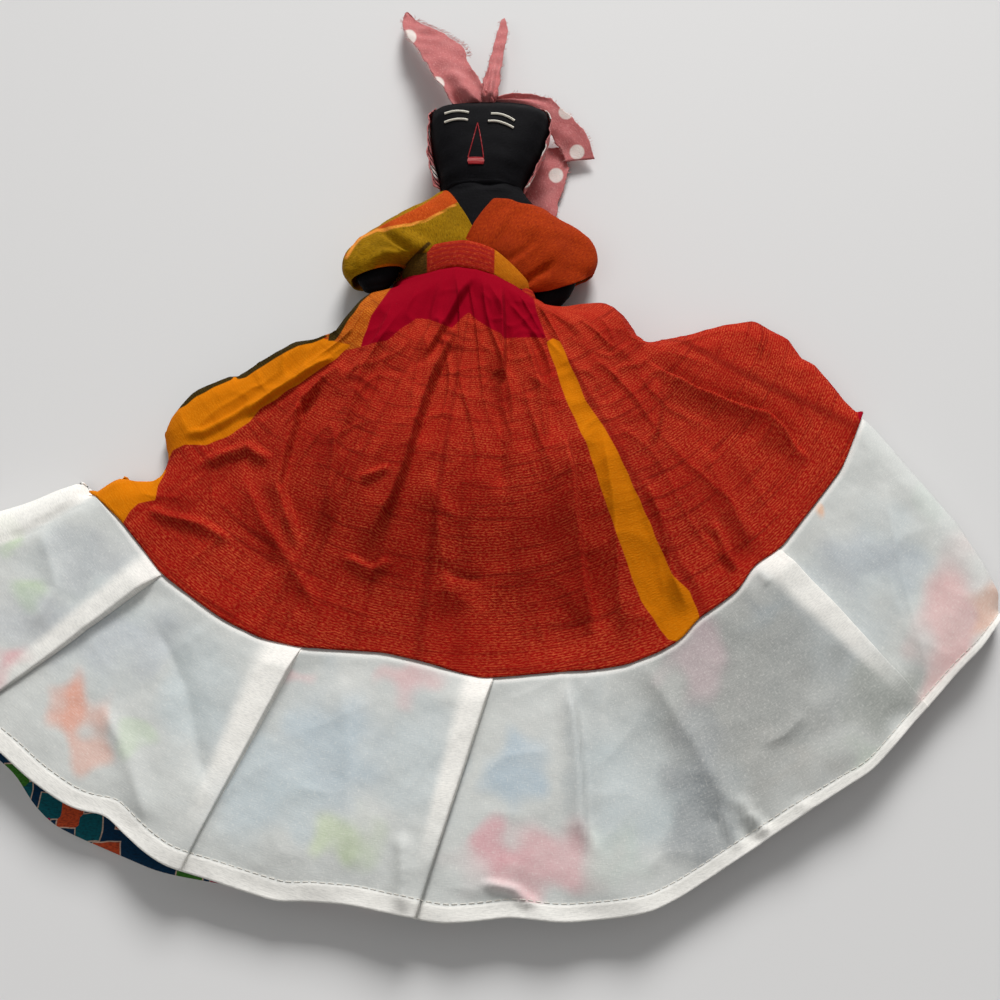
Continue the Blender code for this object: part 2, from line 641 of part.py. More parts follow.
def make_skirt(root):
    inner_columns = COLUMN_SHARES[1:-1]
    inner_back = (COLUMN_SHARES[1], *BACK_COLUMN_SHARES[1:-1], COLUMN_SHARES[-2])
    make_front("skirt_front_a", "skirt", COLUMN_SHARES, 0, RED_MADRAS, root)
    make_front("flounce_front_a", "flounce", COLUMN_SHARES, 0, WHITE_COTTON, root)
    make_front("skirt_front_b", "both", inner_columns, 1, PRINT_COTTON, root)
    make_back("skirt_back_a", "skirt", BACK_COLUMN_SHARES, 0, RED_MADRAS, root)
    make_back("flounce_back_a", "flounce", BACK_COLUMN_SHARES, 0, WHITE_COTTON, root)
    make_back("skirt_back_b", "both", inner_back, 1, PRINT_COTTON, root)


def shoulder_side(neck):
    """Half width of the torso at the middle of the armhole."""
    return at_place(torso_stations(neck), shoulder_place(neck))[0]


def make_visible_arm(side_name, side, reach, elbow, cuff, root, look):
    """An arm of doll a and its sleeve, which fold forward about the front of the armhole."""
    neck = TORSO_LENGTH
    shoulder = WAIST_UP + shoulder_place(neck)
    start = shoulder_side(neck) + COVER_EASE + ARM_DOME
    top = TORSO_HEIGHT_A + SLEEVE_HALF_DEPTH + COVER_EASE
    sleeve_start = shoulder_side(neck) + 2 * COVER_EASE + CLOTH + SEAM_GAP
    pivot = (side * sleeve_start, shoulder, top)
    arm = (
        (side * start, shoulder, TORSO_HEIGHT_A),
        (side * (start + elbow[0]), shoulder - elbow[1], (TORSO_HEIGHT_A + HAND_HEIGHT) / 2),
        (side * (start + reach[0]), shoulder - reach[1], HAND_HEIGHT),
    )
    make_arm(f"arm_{side_name}_a", arm, ARM_DOME, pivot, root)
    cuff_height = SLEEVE_HALF_DEPTH + SEAM_GAP
    sleeve = (
        (side * sleeve_start, shoulder, TORSO_HEIGHT_A),
        (side * (sleeve_start + cuff[0] * SLEEVE_BEND_SHARE), shoulder, TORSO_HEIGHT_A),
        (side * (sleeve_start + cuff[0]), shoulder - cuff[1], cuff_height),
    )
    make_sleeve(f"sleeve_{side_name}_a", sleeve, SLEEVE_HALF_WIDTH, SLEEVE_HALF_DEPTH, look, pivot, root)
    return pivot


def make_hidden_arm(side_name, side, root):
    """An arm of doll b and its sleeve, which swing in the plane of the skirt."""
    neck = HIDDEN_NECK
    shoulder = WAIST_UP - shoulder_place(neck)
    start = shoulder_side(neck) + HIDDEN_ARM_EASE + HIDDEN_ARM_ROOT
    pivot = np.array((side * start, shoulder, TORSO_HEIGHT_B))
    turn = math.radians(HIDDEN_ARM_TURN)
    hand_height = SKIRT_FLOOR + SEAM_GAP + HIDDEN_SLEEVE_HALF_DEPTH
    fall = np.array((0.0, 0.0, hand_height - TORSO_HEIGHT_B)) / HIDDEN_ARM_LENGTH
    way = np.array((side * math.sin(turn), -math.cos(turn), 0.0)) + fall
    arm = (pivot, pivot + way * HIDDEN_ARM_LENGTH / 2, pivot + way * HIDDEN_ARM_LENGTH)
    make_arm(f"arm_{side_name}_b", arm, HIDDEN_ARM_ROOT, pivot, root)
    middle = (HIDDEN_SLEEVE_START + HIDDEN_SLEEVE_END) / 2
    sleeve = [pivot + way * length for length in (HIDDEN_SLEEVE_START, middle, HIDDEN_SLEEVE_END)]
    make_sleeve(
        f"sleeve_{side_name}_b", sleeve, HIDDEN_SLEEVE_HALF_WIDTH, HIDDEN_SLEEVE_HALF_DEPTH,
        PRINT_COTTON, pivot, root,
    )  # fmt: skip


def make_head_cloth_ends_a(pivot, root):
    """The torn ends of the head cloth: two standing up from the knot, a loop, and a tail behind the neck."""
    knot = WAIST_UP + TORSO_LENGTH + HEAD_LENGTH + COVER_EASE + 2 * KNOT_RADIUS
    knot_side = knot - KNOT_RADIUS
    height = HEAD_HEIGHT_A
    flat = LAYER + SEAM_GAP
    beside = KNOT_RADIUS + SEAM_GAP
    wide = (
        (-WIDE_END_HALF_WIDTH * WIDE_END_SHARES[0] - SEAM_GAP, knot - KNOT_RADIUS / 8, height),
        (-beside - WIDE_END_SWING / 4, knot + WIDE_END_LENGTH / 2, height),
        (-beside - WIDE_END_SWING, knot + WIDE_END_LENGTH, flat + CREASE),
    )
    make_ribbon("kerchief_end_wide_a", wide, WIDE_END_HALF_WIDTH, WIDE_END_SHARES,
                PINK_VOILE, pivot, root)  # fmt: skip
    narrow = (
        (NARROW_END_HALF_WIDTH, knot, height),
        (NARROW_END_HALF_WIDTH, knot + NARROW_END_LENGTH / 2, height),
        (NARROW_END_HALF_WIDTH + NARROW_END_SWING, knot + NARROW_END_LENGTH, flat + 2 * CREASE),
    )
    make_ribbon("kerchief_end_narrow_a", narrow, NARROW_END_HALF_WIDTH, NARROW_END_SHARES,
                PINK_VOILE, pivot, root)  # fmt: skip
    loop = (
        (beside, knot_side, height),
        (beside + LOOP_REACH, knot_side + LOOP_HALF_WIDTH, height),
        (beside + LOOP_REACH, knot_side - LOOP_DROP, 2 * LAYER + CREASE),
    )
    make_ribbon("kerchief_loop_a", loop, LOOP_HALF_WIDTH, LOOP_SHARES,
                PINK_VOILE, pivot, root)  # fmt: skip
    neck = WAIST_UP + TORSO_LENGTH
    tail = tuple((beside, neck + above, LAYER) for beside, above in (TAIL_START, TAIL_BEND, TAIL_END))
    make_ribbon("kerchief_tail_a", tail, TAIL_HALF_WIDTH, TAIL_SHARES,
                PINK_VOILE, pivot, root)  # fmt: skip


def make_head_cloth_ends_b(pivot, root):
    """The two short ends of the hidden doll's head cloth."""
    knot = WAIST_UP - HIDDEN_HEAD_TOP - COVER_EASE - 2 * KNOT_RADIUS
    for side_name, side in (("left", -1), ("right", 1)):
        start = side * HIDDEN_END_START
        ends = (
            (start, knot - SEAM_GAP, HEAD_HEIGHT_B),
            (start * 2, knot - HIDDEN_END_LENGTH / 2, HEAD_HEIGHT_B),
            (start + side * HIDDEN_END_SWING, knot - HIDDEN_END_LENGTH, SKIRT_FLOOR + LAYER),
        )
        make_ribbon(f"kerchief_end_{side_name}_b", ends, HIDDEN_END_HALF_WIDTH, HIDDEN_END_SHARES,
                    PINK_VOILE, pivot, root)  # fmt: skip


def make_doll_a(root):
    neck = TORSO_LENGTH
    make_torso("torso_a", 1, neck, root)
    low = SEAM_GAP
    make_bodice_half("bodice_left_a", 1, -1, neck, low, TORSO_HEIGHT_A, OLIVE_PLAID, root)
    make_bodice_half("bodice_right_a", 1, 1, neck, low, TORSO_HEIGHT_A, ORANGE_PLAID, root)
    make_waistband("waistband_a", 1, BAND_RISE_A - BAND_HEIGHT, BAND_RISE_A, BAND_ARCH, neck,
                   TORSO_HEIGHT_A, RED_BAND, root)  # fmt: skip
    make_visible_arm("left", -1, LEFT_ARM_REACH, LEFT_ELBOW, LEFT_CUFF, root, OLIVE_PLAID)
    make_visible_arm("right", 1, RIGHT_ARM_REACH, RIGHT_ELBOW, RIGHT_CUFF, root, ORANGE_PLAID)
    pivot = (0.0, WAIST_UP + neck, TORSO_HEIGHT_A + TORSO_HALF_DEPTH * NECK_FRONT_SHARE)
    make_head("head_a", 1, neck, HEAD_HEIGHT_A, pivot, root)
    make_head_cloth("kerchief_a", 1, neck, HEAD_HEIGHT_A, pivot, root)
    make_knot("kerchief_knot_a", 1, neck + HEAD_LENGTH, HEAD_HEIGHT_A, pivot, root)
    make_head_cloth_ends_a(pivot, root)


def make_doll_b(root):
    neck = HIDDEN_NECK
    make_torso("torso_b", -1, neck, root)
    make_bodice_half("bodice_left_b", -1, -1, neck, HIDDEN_BAND_START, TORSO_HEIGHT_B, PRINT_COTTON, root)
    make_bodice_half("bodice_right_b", -1, 1, neck, HIDDEN_BAND_START, TORSO_HEIGHT_B, PRINT_COTTON,
                     root)  # fmt: skip
    make_waistband("waistband_b", -1, HIDDEN_BAND_START, HIDDEN_BAND_END, 0.0, neck,
                   TORSO_HEIGHT_B, RED_BAND, root)  # fmt: skip
    for side_name, side in (("left", -1), ("right", 1)):
        make_hidden_arm(side_name, side, root)
    pivot = (0.0, WAIST_UP - neck, HEAD_HEIGHT_B)
    make_head("head_b", -1, neck, HEAD_HEIGHT_B, pivot, root)
    make_head_cloth("kerchief_b", -1, neck, HEAD_HEIGHT_B, pivot, root)
    make_knot("kerchief_knot_b", -1, neck + HEAD_LENGTH, HEAD_HEIGHT_B, pivot, root)
    make_head_cloth_ends_b(pivot, root)


def main():
    clear_scene()
    root = bpy.data.objects.new("doll", None)
    bpy.context.scene.collection.objects.link(root)
    make_skirt(root)
    make_doll_a(root)
    make_doll_b(root)
    bpy.context.view_layer.update()


main()
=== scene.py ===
import math

import bmesh
import bpy
import numpy as np
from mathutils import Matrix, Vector
from mathutils.bvhtree import BVHTree


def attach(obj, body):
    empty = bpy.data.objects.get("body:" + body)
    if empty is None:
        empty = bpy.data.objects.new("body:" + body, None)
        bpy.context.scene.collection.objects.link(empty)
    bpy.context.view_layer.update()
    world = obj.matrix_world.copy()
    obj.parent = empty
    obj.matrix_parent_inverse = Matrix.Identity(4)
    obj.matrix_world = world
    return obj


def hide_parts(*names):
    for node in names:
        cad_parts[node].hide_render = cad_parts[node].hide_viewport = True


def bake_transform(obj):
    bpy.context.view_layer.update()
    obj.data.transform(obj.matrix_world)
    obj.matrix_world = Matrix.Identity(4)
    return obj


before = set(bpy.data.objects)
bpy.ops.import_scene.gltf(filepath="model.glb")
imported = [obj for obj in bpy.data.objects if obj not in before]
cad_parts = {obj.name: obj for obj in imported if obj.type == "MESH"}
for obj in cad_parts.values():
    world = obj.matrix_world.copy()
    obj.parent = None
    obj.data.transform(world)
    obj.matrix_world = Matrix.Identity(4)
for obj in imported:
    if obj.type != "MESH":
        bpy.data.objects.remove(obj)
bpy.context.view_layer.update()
print("frame loaded:", len(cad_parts), "solids")

# view, floor and light
viewChoice = {
    "cameraPlace": (0.0057, -0.2156, 0.3934),
    "tilt": 22.0,  # degrees from straight down, toward the head
    "lens": 45.0,
    "sensor": 36.0,
    "frameSize": 1000.0,
    "floorSize": 6.0,
    "floorDrop": 0.0003,  # keeps the floor just below the lowest cloth
    "floorColour": "D8D7D6",
    "floorRoughness": 0.7,
    "skyStrength": 0.28,
}
lampChoices = {  # the spread is in degrees; the key's is narrow, as with a honeycomb grid over the lamp
    "keySoftbox": {"place": (0.55, 3.0, 2.2), "size": 1.5, "strength": 14.8, "spread": 50},
    "fillSoftbox": {"place": (-1.2, -1.2, 2.2), "size": 1.2, "strength": 6.0, "spread": 180},
}
viewTilt = math.radians(viewChoice["tilt"])
frameMiddle = viewChoice["frameSize"] / 2
frameScale = viewChoice["frameSize"] * viewChoice["lens"] / viewChoice["sensor"]


def toLinear(hexColour, alpha=1.0):
    parts = [int(hexColour[i:i + 2], 16) / 255 for i in (0, 2, 4)]
    return tuple(c / 12.92 if c <= 0.04045 else ((c + 0.055) / 1.055) ** 2.4 for c in parts) + (alpha,)


def toFrame(points):  # where points in metres show in the picture's frame
    rel = np.asarray(points, float) - np.array(viewChoice["cameraPlace"])
    up = rel[..., 1] * math.cos(viewTilt) + rel[..., 2] * math.sin(viewTilt)
    depth = rel[..., 1] * math.sin(viewTilt) - rel[..., 2] * math.cos(viewTilt)
    return frameMiddle + frameScale * rel[..., 0] / depth, frameMiddle - frameScale * up / depth


def fromFrame(px, py, height):  # the point of a level plane that shows at a place of the frame
    px, py, height = (np.asarray(v, float) for v in (px, py, height))
    right, up = (px - frameMiddle) / frameScale, (frameMiddle - py) / frameScale
    alongY = up * math.cos(viewTilt) + math.sin(viewTilt)
    alongZ = up * math.sin(viewTilt) - math.cos(viewTilt)
    cx, cy, cz = viewChoice["cameraPlace"]
    reach = (height - cz) / alongZ
    return np.stack([cx + right * reach, cy + alongY * reach, height + 0 * reach], axis=-1)


def framePlaces(line):  # places of the frame, each with its height in millimetres
    return np.array([fromFrame(px, py, height / 1000) for px, py, height in line])


def addNode(tree, kind, settings=None, links=None):
    node = tree.nodes.new(kind)
    for key, value in (settings or {}).items():
        if isinstance(key, int) or key in node.inputs:
            node.inputs[key].default_value = value
        else:
            setattr(node, key, value)
    for key, source in (links or {}).items():
        tree.links.new(source, node.inputs[key])
    return node


def addObject(name, data):
    made = bpy.data.objects.new(name, data)
    bpy.context.scene.collection.objects.link(made)
    return made


def setStage():
    bpy.ops.mesh.primitive_plane_add(size=viewChoice["floorSize"], location=(0, 0, -viewChoice["floorDrop"]))
    floor = bpy.context.object
    floor.name = "tableTop"
    paint = bpy.data.materials.new("matt laminate table")
    paint.use_nodes = True
    shader = paint.node_tree.nodes["Principled BSDF"]
    shader.inputs["Base Color"].default_value = toLinear(viewChoice["floorColour"])
    shader.inputs["Roughness"].default_value = viewChoice["floorRoughness"]
    floor.data.materials.append(paint)
    world = bpy.data.worlds.new("studio")
    world.use_nodes = True
    sky = world.node_tree.nodes["Background"]
    sky.inputs["Color"].default_value = (1, 1, 1, 1)
    sky.inputs["Strength"].default_value = viewChoice["skyStrength"]
    bpy.context.scene.world = world
    for name, choice in lampChoices.items():
        lamp = bpy.data.lights.new(name, "AREA")
        lamp.energy, lamp.size, lamp.spread = choice["strength"], choice["size"], math.radians(choice["spread"])
        lampObject = addObject(name, lamp)
        lampObject.location = choice["place"]
        # a lamp shines along its -Z, here toward the origin
        aim = -np.array(choice["place"]) / np.linalg.norm(choice["place"])
        lampObject.rotation_euler = Vector(aim.tolist()).to_track_quat("-Z", "Y").to_euler()
    camera = bpy.data.cameras.new("camera")
    camera.lens, camera.sensor_width = viewChoice["lens"], viewChoice["sensor"]
    camera.clip_start, camera.clip_end = 0.01, 20
    cameraObject = addObject("camera", camera)
    cameraObject.location = viewChoice["cameraPlace"]
    cameraObject.rotation_euler = (viewTilt, 0, 0)
    bpy.context.scene.camera = cameraObject
    bpy.context.scene.view_settings.view_transform = "Standard"


setStage()
print("stage set")


# shapes of cloth
def smooth(x):
    x = np.clip(x, 0, 1)
    return x * x * (3 - 2 * x)


def lineDistance(px, py, line):  # distance, side (+1 to the right of the way along) and share along
    best = np.full(np.shape(px), 1e9)
    side, along = np.zeros_like(best), np.zeros_like(best)
    line = np.asarray(line, float)
    steps = np.linalg.norm(np.diff(line, axis=0), axis=1)
    total, gone = steps.sum(), 0.0
    for (ax, ay), (bx, by), step in zip(line[:-1], line[1:], steps):
        t = np.clip(((px - ax) * (bx - ax) + (py - ay) * (by - ay)) / step**2, 0, 1)
        dx, dy = px - ax - t * (bx - ax), py - ay - t * (by - ay)
        d = np.hypot(dx, dy)
        near = d < best
        best = np.where(near, d, best)
        side = np.where(near, np.sign((bx - ax) * dy - (by - ay) * dx), side)
        along = np.where(near, (gone + t * step) / total, along)
        gone += step
    return best, side, along


def insideDistance(px, py, outline):  # positive inside the closed outline
    closed = list(outline) + [outline[0]]
    distance = lineDistance(px, py, closed)[0]
    inside = np.zeros(np.shape(px), bool)
    for (ax, ay), (bx, by) in zip(closed[:-1], closed[1:]):
        crosses = (ay > py) != (by > py)
        inside ^= crosses & (px < (bx - ax) * (py - ay) / ((by - ay) or 1e-9) + ax)
    return np.where(inside, distance, -distance)


def creaseLift(px, py, creases):  # (line traced down the frame, height in metres, width left and right of it)
    lift = np.zeros(np.shape(px))
    for line, height, left, right in creases:
        distance, side, along = lineDistance(px, py, line)
        width = np.where(side > 0, left, right)
        profile = np.clip(1 - distance / width, 0, 1)
        steep = width <= 10
        profile = np.where(steep, profile**2 * (3 - 2 * profile), profile**1.7)
        # beside a steep side the cloth dips before it lies flat again
        dip = smooth(distance / width) * smooth(1 - (distance - width) / (2.6 * width))
        profile = profile - np.where(steep & (height > 0), 0.30 * dip, 0)
        fade = smooth(np.clip(np.minimum(along, 1 - along) / 0.22, 0.0, 1))
        lift += height * fade * profile
    return lift


def ripple(x, y, length, seed):  # smooth wrinkles about -1 to 1, with this wave length
    dice = np.random.default_rng(seed)
    total = 0
    for _ in range(9):
        turn, phase, stretch = dice.uniform(0, 2 * np.pi), dice.uniform(0, 2 * np.pi), dice.uniform(0.7, 1.6)
        total = total + np.sin(2 * np.pi * stretch * (x * np.cos(turn) + y * np.sin(turn)) / length + phase)
    return total / 4.2


def crinkle(x, y, length, seed):  # sharp little ridges about 0 to 1, as in cotton that has been crushed
    return np.clip(1 - np.abs(ripple(x, y, length, seed)) * 1.9, 0, 1) ** 1.6


def lineLength(line):
    return np.linalg.norm(np.diff(line, axis=0), axis=1).sum()


def runningLength(line):  # how far along the line each of its points lies
    return np.concatenate([[0], np.cumsum(np.linalg.norm(np.diff(line, axis=0), axis=1))])


def alongLine(line, shares):  # points at shares of a line's length
    line = np.asarray(line, float)
    gone = runningLength(line) / lineLength(line)
    return np.stack([np.interp(shares, gone, line[:, i]) for i in range(line.shape[1])], axis=-1)


def rounded(line, count=400, reach=5):  # the same line with its corners eased
    points = alongLine(line, np.linspace(0, 1, count))
    kernel = np.hanning(2 * reach + 3)[1:-1]
    kernel = kernel / kernel.sum()
    padded = np.concatenate([np.repeat(points[:1], reach, 0), points, np.repeat(points[-1:], reach, 0)])
    eased = np.stack([np.convolve(padded[:, i], kernel, "valid") for i in range(points.shape[1])], axis=-1)
    eased[0], eased[-1] = points[0], points[-1]
    return eased


def makeMesh(name, points, faces, materials, values):
    mesh = bpy.data.meshes.new(name)
    mesh.from_pydata(np.asarray(points).reshape(-1, 3).tolist(), [], faces)
    for key, value in values.items():
        value = np.asarray(value, np.float32).reshape(len(mesh.vertices), -1)
        kind, field = ("FLOAT", "value") if value.shape[1] == 1 else ("FLOAT_VECTOR", "vector")
        mesh.attributes.new(key, kind, "POINT").data.foreach_set(field, value.ravel())
    mesh.shade_smooth()
    for material in materials:
        mesh.materials.append(finishes[material])
    return addObject(name, mesh)


def gridQuads(rows, columns, wrapped=False, flipped=False):
    faces = []
    for row in range(rows - 1):
        for column in range(columns if wrapped else columns - 1):
            after = (column + 1) % columns
            quad = (row * columns + column, row * columns + after,
                    (row + 1) * columns + after, (row + 1) * columns + column)
            faces.append(quad[::-1] if flipped else quad)
    return faces


def makeSheet(name, grid, thickness, finish, values, wrapped=False, flipped=False, inner=()):
    rows, columns = grid.shape[:2]
    made = makeMesh(name, grid, gridQuads(rows, columns, wrapped, flipped), [finish, *inner], values)
    solid = made.modifiers.new("clothThickness", "SOLIDIFY")
    solid.thickness, solid.offset, solid.material_offset = thickness, -1, len(inner)
    return made


def closedRound(rings):  # rings whose first column comes again at the end
    return np.concatenate([rings, rings[:, :1]], axis=1)


def flatPlace(across, down):  # a place on the flat cloth, in metres
    return np.stack([across, down, 0 * across], axis=-1)


def standFor(piece, body, node):  # the piece moves with the body in place of the CAD node
    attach(piece, body)
    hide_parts(node)


# finishes of cloth
def startFinish(name, roughness, sheen=0.0, sheenTint="FFFFFF", specular=0.08):
    made = bpy.data.materials.new(name)
    made.use_nodes = True
    shader = made.node_tree.nodes["Principled BSDF"]
    for key, value in (("Roughness", roughness), ("Specular IOR Level", specular), ("Sheen Weight", sheen),
                       ("Sheen Roughness", 0.6), ("Sheen Tint", toLinear(sheenTint))):
        shader.inputs[key].default_value = value
    return made, made.node_tree, shader


def stored(tree, name):  # a value kept on the cloth's points
    return addNode(tree, "ShaderNodeAttribute", {"attribute_name": name}).outputs


def clothPlace(tree, across, down):  # the cloth's own place, stretched by the scales per metre
    return addNode(tree, "ShaderNodeVectorMath", {"operation": "MULTIPLY", 1: (across, down, 1.0)},
                   {0: stored(tree, "clothPlace")["Vector"]}).outputs[0]


def yarnNoise(tree, across, down, detail=2.0, roughness=0.55):
    return addNode(tree, "ShaderNodeTexNoise", {"Scale": 1.0, "Detail": detail, "Roughness": roughness},
                   {"Vector": clothPlace(tree, across, down)}).outputs["Fac"]


def crossYarns(tree, slub, yarn):  # noise drawn out along the weft, and along the warp
    return yarnNoise(tree, slub, yarn, 1.5), yarnNoise(tree, yarn, slub, 1.5)


def mixColour(tree, factor, first, second, blend="MIX"):
    node = addNode(tree, "ShaderNodeMix", {"data_type": "RGBA", "blend_type": blend})
    for index, source in ((0, factor), (6, first), (7, second)):
        if isinstance(source, bpy.types.NodeSocket):
            tree.links.new(source, node.inputs[index])
        else:
            node.inputs[index].default_value = toLinear(source) if isinstance(source, str) else source
    return node.outputs[2]


def spread(tree, source, low, high):  # a value stretched so that low becomes 0 and high becomes 1
    return addNode(tree, "ShaderNodeMapRange", {"From Min": low, "From Max": high, "clamp": True},
                   {"Value": source}).outputs[0]


def shade(tree, source, low, high, first, second):  # the first colour where the source is low, then the second
    return mixColour(tree, spread(tree, source, low, high), first, second)


def paintArea(tree, name, softness, under, over):  # the area's edge distance is stored on the cloth
    return shade(tree, stored(tree, name)["Fac"], -softness, softness, under, over)


def finishCloth(tree, shader, colour, yarns, strength, depth):  # the colour and the relief of the weave
    tree.links.new(colour, shader.inputs["Base Color"])
    total = yarns[0]
    for yarn in yarns[1:]:
        total = addNode(tree, "ShaderNodeMath", {"operation": "ADD"}, {0: total, 1: yarn}).outputs[0]
    bump = addNode(tree, "ShaderNodeBump", {"Strength": strength, "Distance": depth}, {"Height": total})
    tree.links.new(bump.outputs["Normal"], shader.inputs["Normal"])


def yarnDyed(tree, colours, weft, warp, patch):  # slubby yarns in three shades of one colour
    dark, base, light = colours
    colour = shade(tree, weft, 0.50, 0.20, base, dark)
    colour = shade(tree, weft, 0.55, 0.85, colour, light)
    colour = shade(tree, warp, 0.58, 0.95, colour, light)
    return shade(tree, patch, 0.45, 1.05, colour, dark)


madrasChoice = {
    "red": ("660C07", "9C130E", "CC5833"),
    "crimson": ("7C0016", "8E0019", "9A0624"),
    "mustard": ("9A5000", "CE7204", "DE8E1C"),
    "orange": ("6E2408", "A8480C", "D88A2E"),
    "olive": ("160F04", "2E2208", "4A3C12"),
    "slubLength": 0.014,  # metres, along the weft
    "row": 0.00082,  # from one light pick to the next
    "yarn": 0.00046,  # drawn half as much again as coarse as the real 0.3 mm yarn, so that it shows
}


def madrasFinish():
    # madras, a yarn-dyed plain weave of hand-spun cotton: matt, with light weft flecks in rows between deeper
    # warps, thin darker picks where the yarn is dyed deeper, and softly cloudy where the cloth is worn
    made, tree, shader = startFinish("handwoven madras cotton", 0.92, specular=0.04)
    yarn, slub = 1 / madrasChoice["yarn"], 1 / madrasChoice["slubLength"]
    rows = addNode(tree, "ShaderNodeTexWave", {"bands_direction": "Y", "Scale": 0.314 / madrasChoice["row"],
                                               "Distortion": 5.0, "Detail": 2.0, "Detail Scale": 0.10},
                   {"Vector": clothPlace(tree, 1.0, 1.0)}).outputs["Fac"]
    flecks = yarnNoise(tree, yarn * 0.42, yarn, 1.0)
    cloud = yarnNoise(tree, 50.0, 60.0, 4.0, 0.6)
    weft = yarnNoise(tree, slub, yarn * 0.9, 2.0, 0.6)
    band = yarnNoise(tree, 22.0, 420.0)
    stripe = yarnNoise(tree, 130.0, 2.0, 1.0)
    patch = yarnNoise(tree, 16.0, 26.0)
    fleck = addNode(tree, "ShaderNodeMath", {"operation": "MULTIPLY_ADD", 1: 0.17}, {0: rows, 2: flecks}).outputs[0]
    fleck = addNode(tree, "ShaderNodeMath", {"operation": "MULTIPLY"},
                    {0: spread(tree, fleck, 0.51, 0.84), 1: spread(tree, cloud, 0.02, 0.60)}).outputs[0]
    colours = {}
    for key in ("red", "crimson", "mustard", "orange", "olive"):
        dark, base, light = madrasChoice[key]
        colour = mixColour(tree, fleck, base, light)
        for source, low, high in ((weft, 0.40, 0.14), (band, 0.46, 0.14), (stripe, 0.56, 1.00), (patch, 0.50, 1.40)):
            colour = shade(tree, source, low, high, colour, dark)
        colours[key] = colour
    for key, evenness in (("crimson", 0.86), ("mustard", 0.55)):
        colours[key] = mixColour(tree, evenness, colours[key], madrasChoice[key][1])
    total = colours["red"]
    for key in ("orange", "crimson", "mustard", "olive"):
        total = paintArea(tree, f"{key}Area", 0.5, total, colours[key])
    finishCloth(tree, shader, total, [flecks], 0.5, 0.0003)
    return made


flounceChoice = {
    "white": "F7F4ED",  # where the cloth lies double
    "shade": "DEDCD6",
    "yarn": 0.00036,
    # places across the frame and the hem's width there in millimetres
    "hemWidth": ([0, 300, 530, 700, 790, 880, 1000], [5.6, 5.6, 5.0, 4.6, 4.0, 2.8, 2.4]),
}


def whiteCottonFinish():
    # bleached cotton lawn, plain woven and thin: matt white, a cooler grey where one layer lets
    # the dark lining through, with the print's colours showing softly, and painted shade in the darker stored greys
    made, tree, shader = startFinish("bleached cotton lawn", 0.85, 0.03)
    weft, warp = crossYarns(tree, 900.0, 1 / flounceChoice["yarn"])
    white = shade(tree, weft, 0.62, 0.20, flounceChoice["white"], flounceChoice["shade"])
    # painted shade: the stored colour holds the lining seen through the cloth and, in places, broad greys of painted
    # shade
    tintAndShadeBehind = stored(tree, "liningTintAndShade")["Color"]
    thread = shade(tree, weft, 0.30, 0.95, tintAndShadeBehind, flounceChoice["white"])
    thread = mixColour(tree, 0.20, tintAndShadeBehind, thread)
    thread = shade(tree, warp, 0.55, 1.30, thread, white)
    total = mixColour(tree, stored(tree, "showAmount")["Fac"], white, thread)
    finishCloth(tree, shader, total, [weft, warp], 0.2, 0.0002)
    return made


finishes = {"madras": madrasFinish(), "white": whiteCottonFinish()}
print("finishes made")


# the skirt, spread flat over the hidden doll
skirtChoice = {
    "thickness": 0.00055,
    "sideHeight": 0.0105,  # top of the spread cloth above the table
    "sideRoll": 0.0110,
    "crownHalfWidth": 0.0250,
    "crownFall": 0.0400,
    "columns": 460,
    "rows": 190,
    "flounceRows": 120,
    "liningColumns": 220,
    "liningRows": 90,  # down to the seam, and half as many below it
    "pleatHeight": 0.0032,
}
# heights of the cloth along the middle: distance below the waist, height
crownPlaces = (0.0087, 0.0127, 0.0230, 0.0435, 0.0875, 0.1355)
crownHeights = (0.0232, 0.0284, 0.0284, 0.0304, 0.0304, 0.0105)
waistPlace = 0.030  # the waist seam, above the origin

# lines of the spread skirt as places of the frame, each with its height
waistLine = [(394, 284, 3), (398, 281, 7), (405, 278, 12), (414, 275, 16), (427, 271, 20), (440, 266.5, 22.5),
             (456, 263, 24), (475, 265.5, 24), (494, 271.5, 22.8), (510, 281, 20), (526, 293.5, 15.5), (542, 300, 10),
             (556, 306, 4)]
seamLine = [(93, 495), (106, 507), (121, 521), (146, 553), (162, 575), (196, 601), (224, 621), (260, 639),
            (300, 648), (345, 651), (382, 653), (426, 663), (458, 673), (484, 679), (520, 676), (557, 673),
            (593, 671), (625, 666), (660, 652), (682, 639), (697, 620), (718, 606), (738, 591), (753, 567),
            (780, 549), (809, 512), (826, 490), (841, 470), (852, 443), (860, 416)]
hemLine = [(-76, 676), (-42, 718), (0, 752), (26, 777), (45, 791), (65, 805), (88, 813), (104, 813), (122, 832),
           (145, 853), (166, 867), (206, 879), (245, 892), (278, 902), (300, 901), (350, 905), (402, 917),
           (441, 924), (474, 922), (508, 917), (540, 921), (560, 923), (585, 921), (620, 918), (650, 913),
           (680, 898), (709, 879), (755, 848), (787, 826), (837, 793), (872, 771), (911, 726), (938, 696),
           (961, 669), (984, 646), (1001, 616)]
leftEdge = [(394, 284), (384, 288), (369, 294), (359, 303), (349, 316), (340, 328), (331, 340), (312, 342), (294, 344),
            (274, 355), (256, 367), (240, 377), (231, 376), (212, 384), (194, 392), (183, 403), (170, 421),
            (164, 435), (166, 448), (169, 458), (164, 473), (157, 481), (133, 481), (124, 477), (112, 482),
            (93, 495)]
rightEdge = [(556, 306), (582, 303), (608, 308), (629, 324), (642, 345), (684, 337), (722, 325), (753, 321), (773, 332),
             (789, 339), (803, 360), (814, 364), (845, 402), (860, 416)]
leftFlounceEdge = [(93, 495), (86, 486), (82, 482), (60, 489), (30, 502), (0, 511), (-50, 524), (-86, 545),
                   (-100, 590), (-96, 640), (-76, 676)]
rightFlounceEdge = [(860, 416), (875, 430), (888, 445), (926, 489), (957, 524), (983, 563), (1000, 593),
                    (1001, 616)]
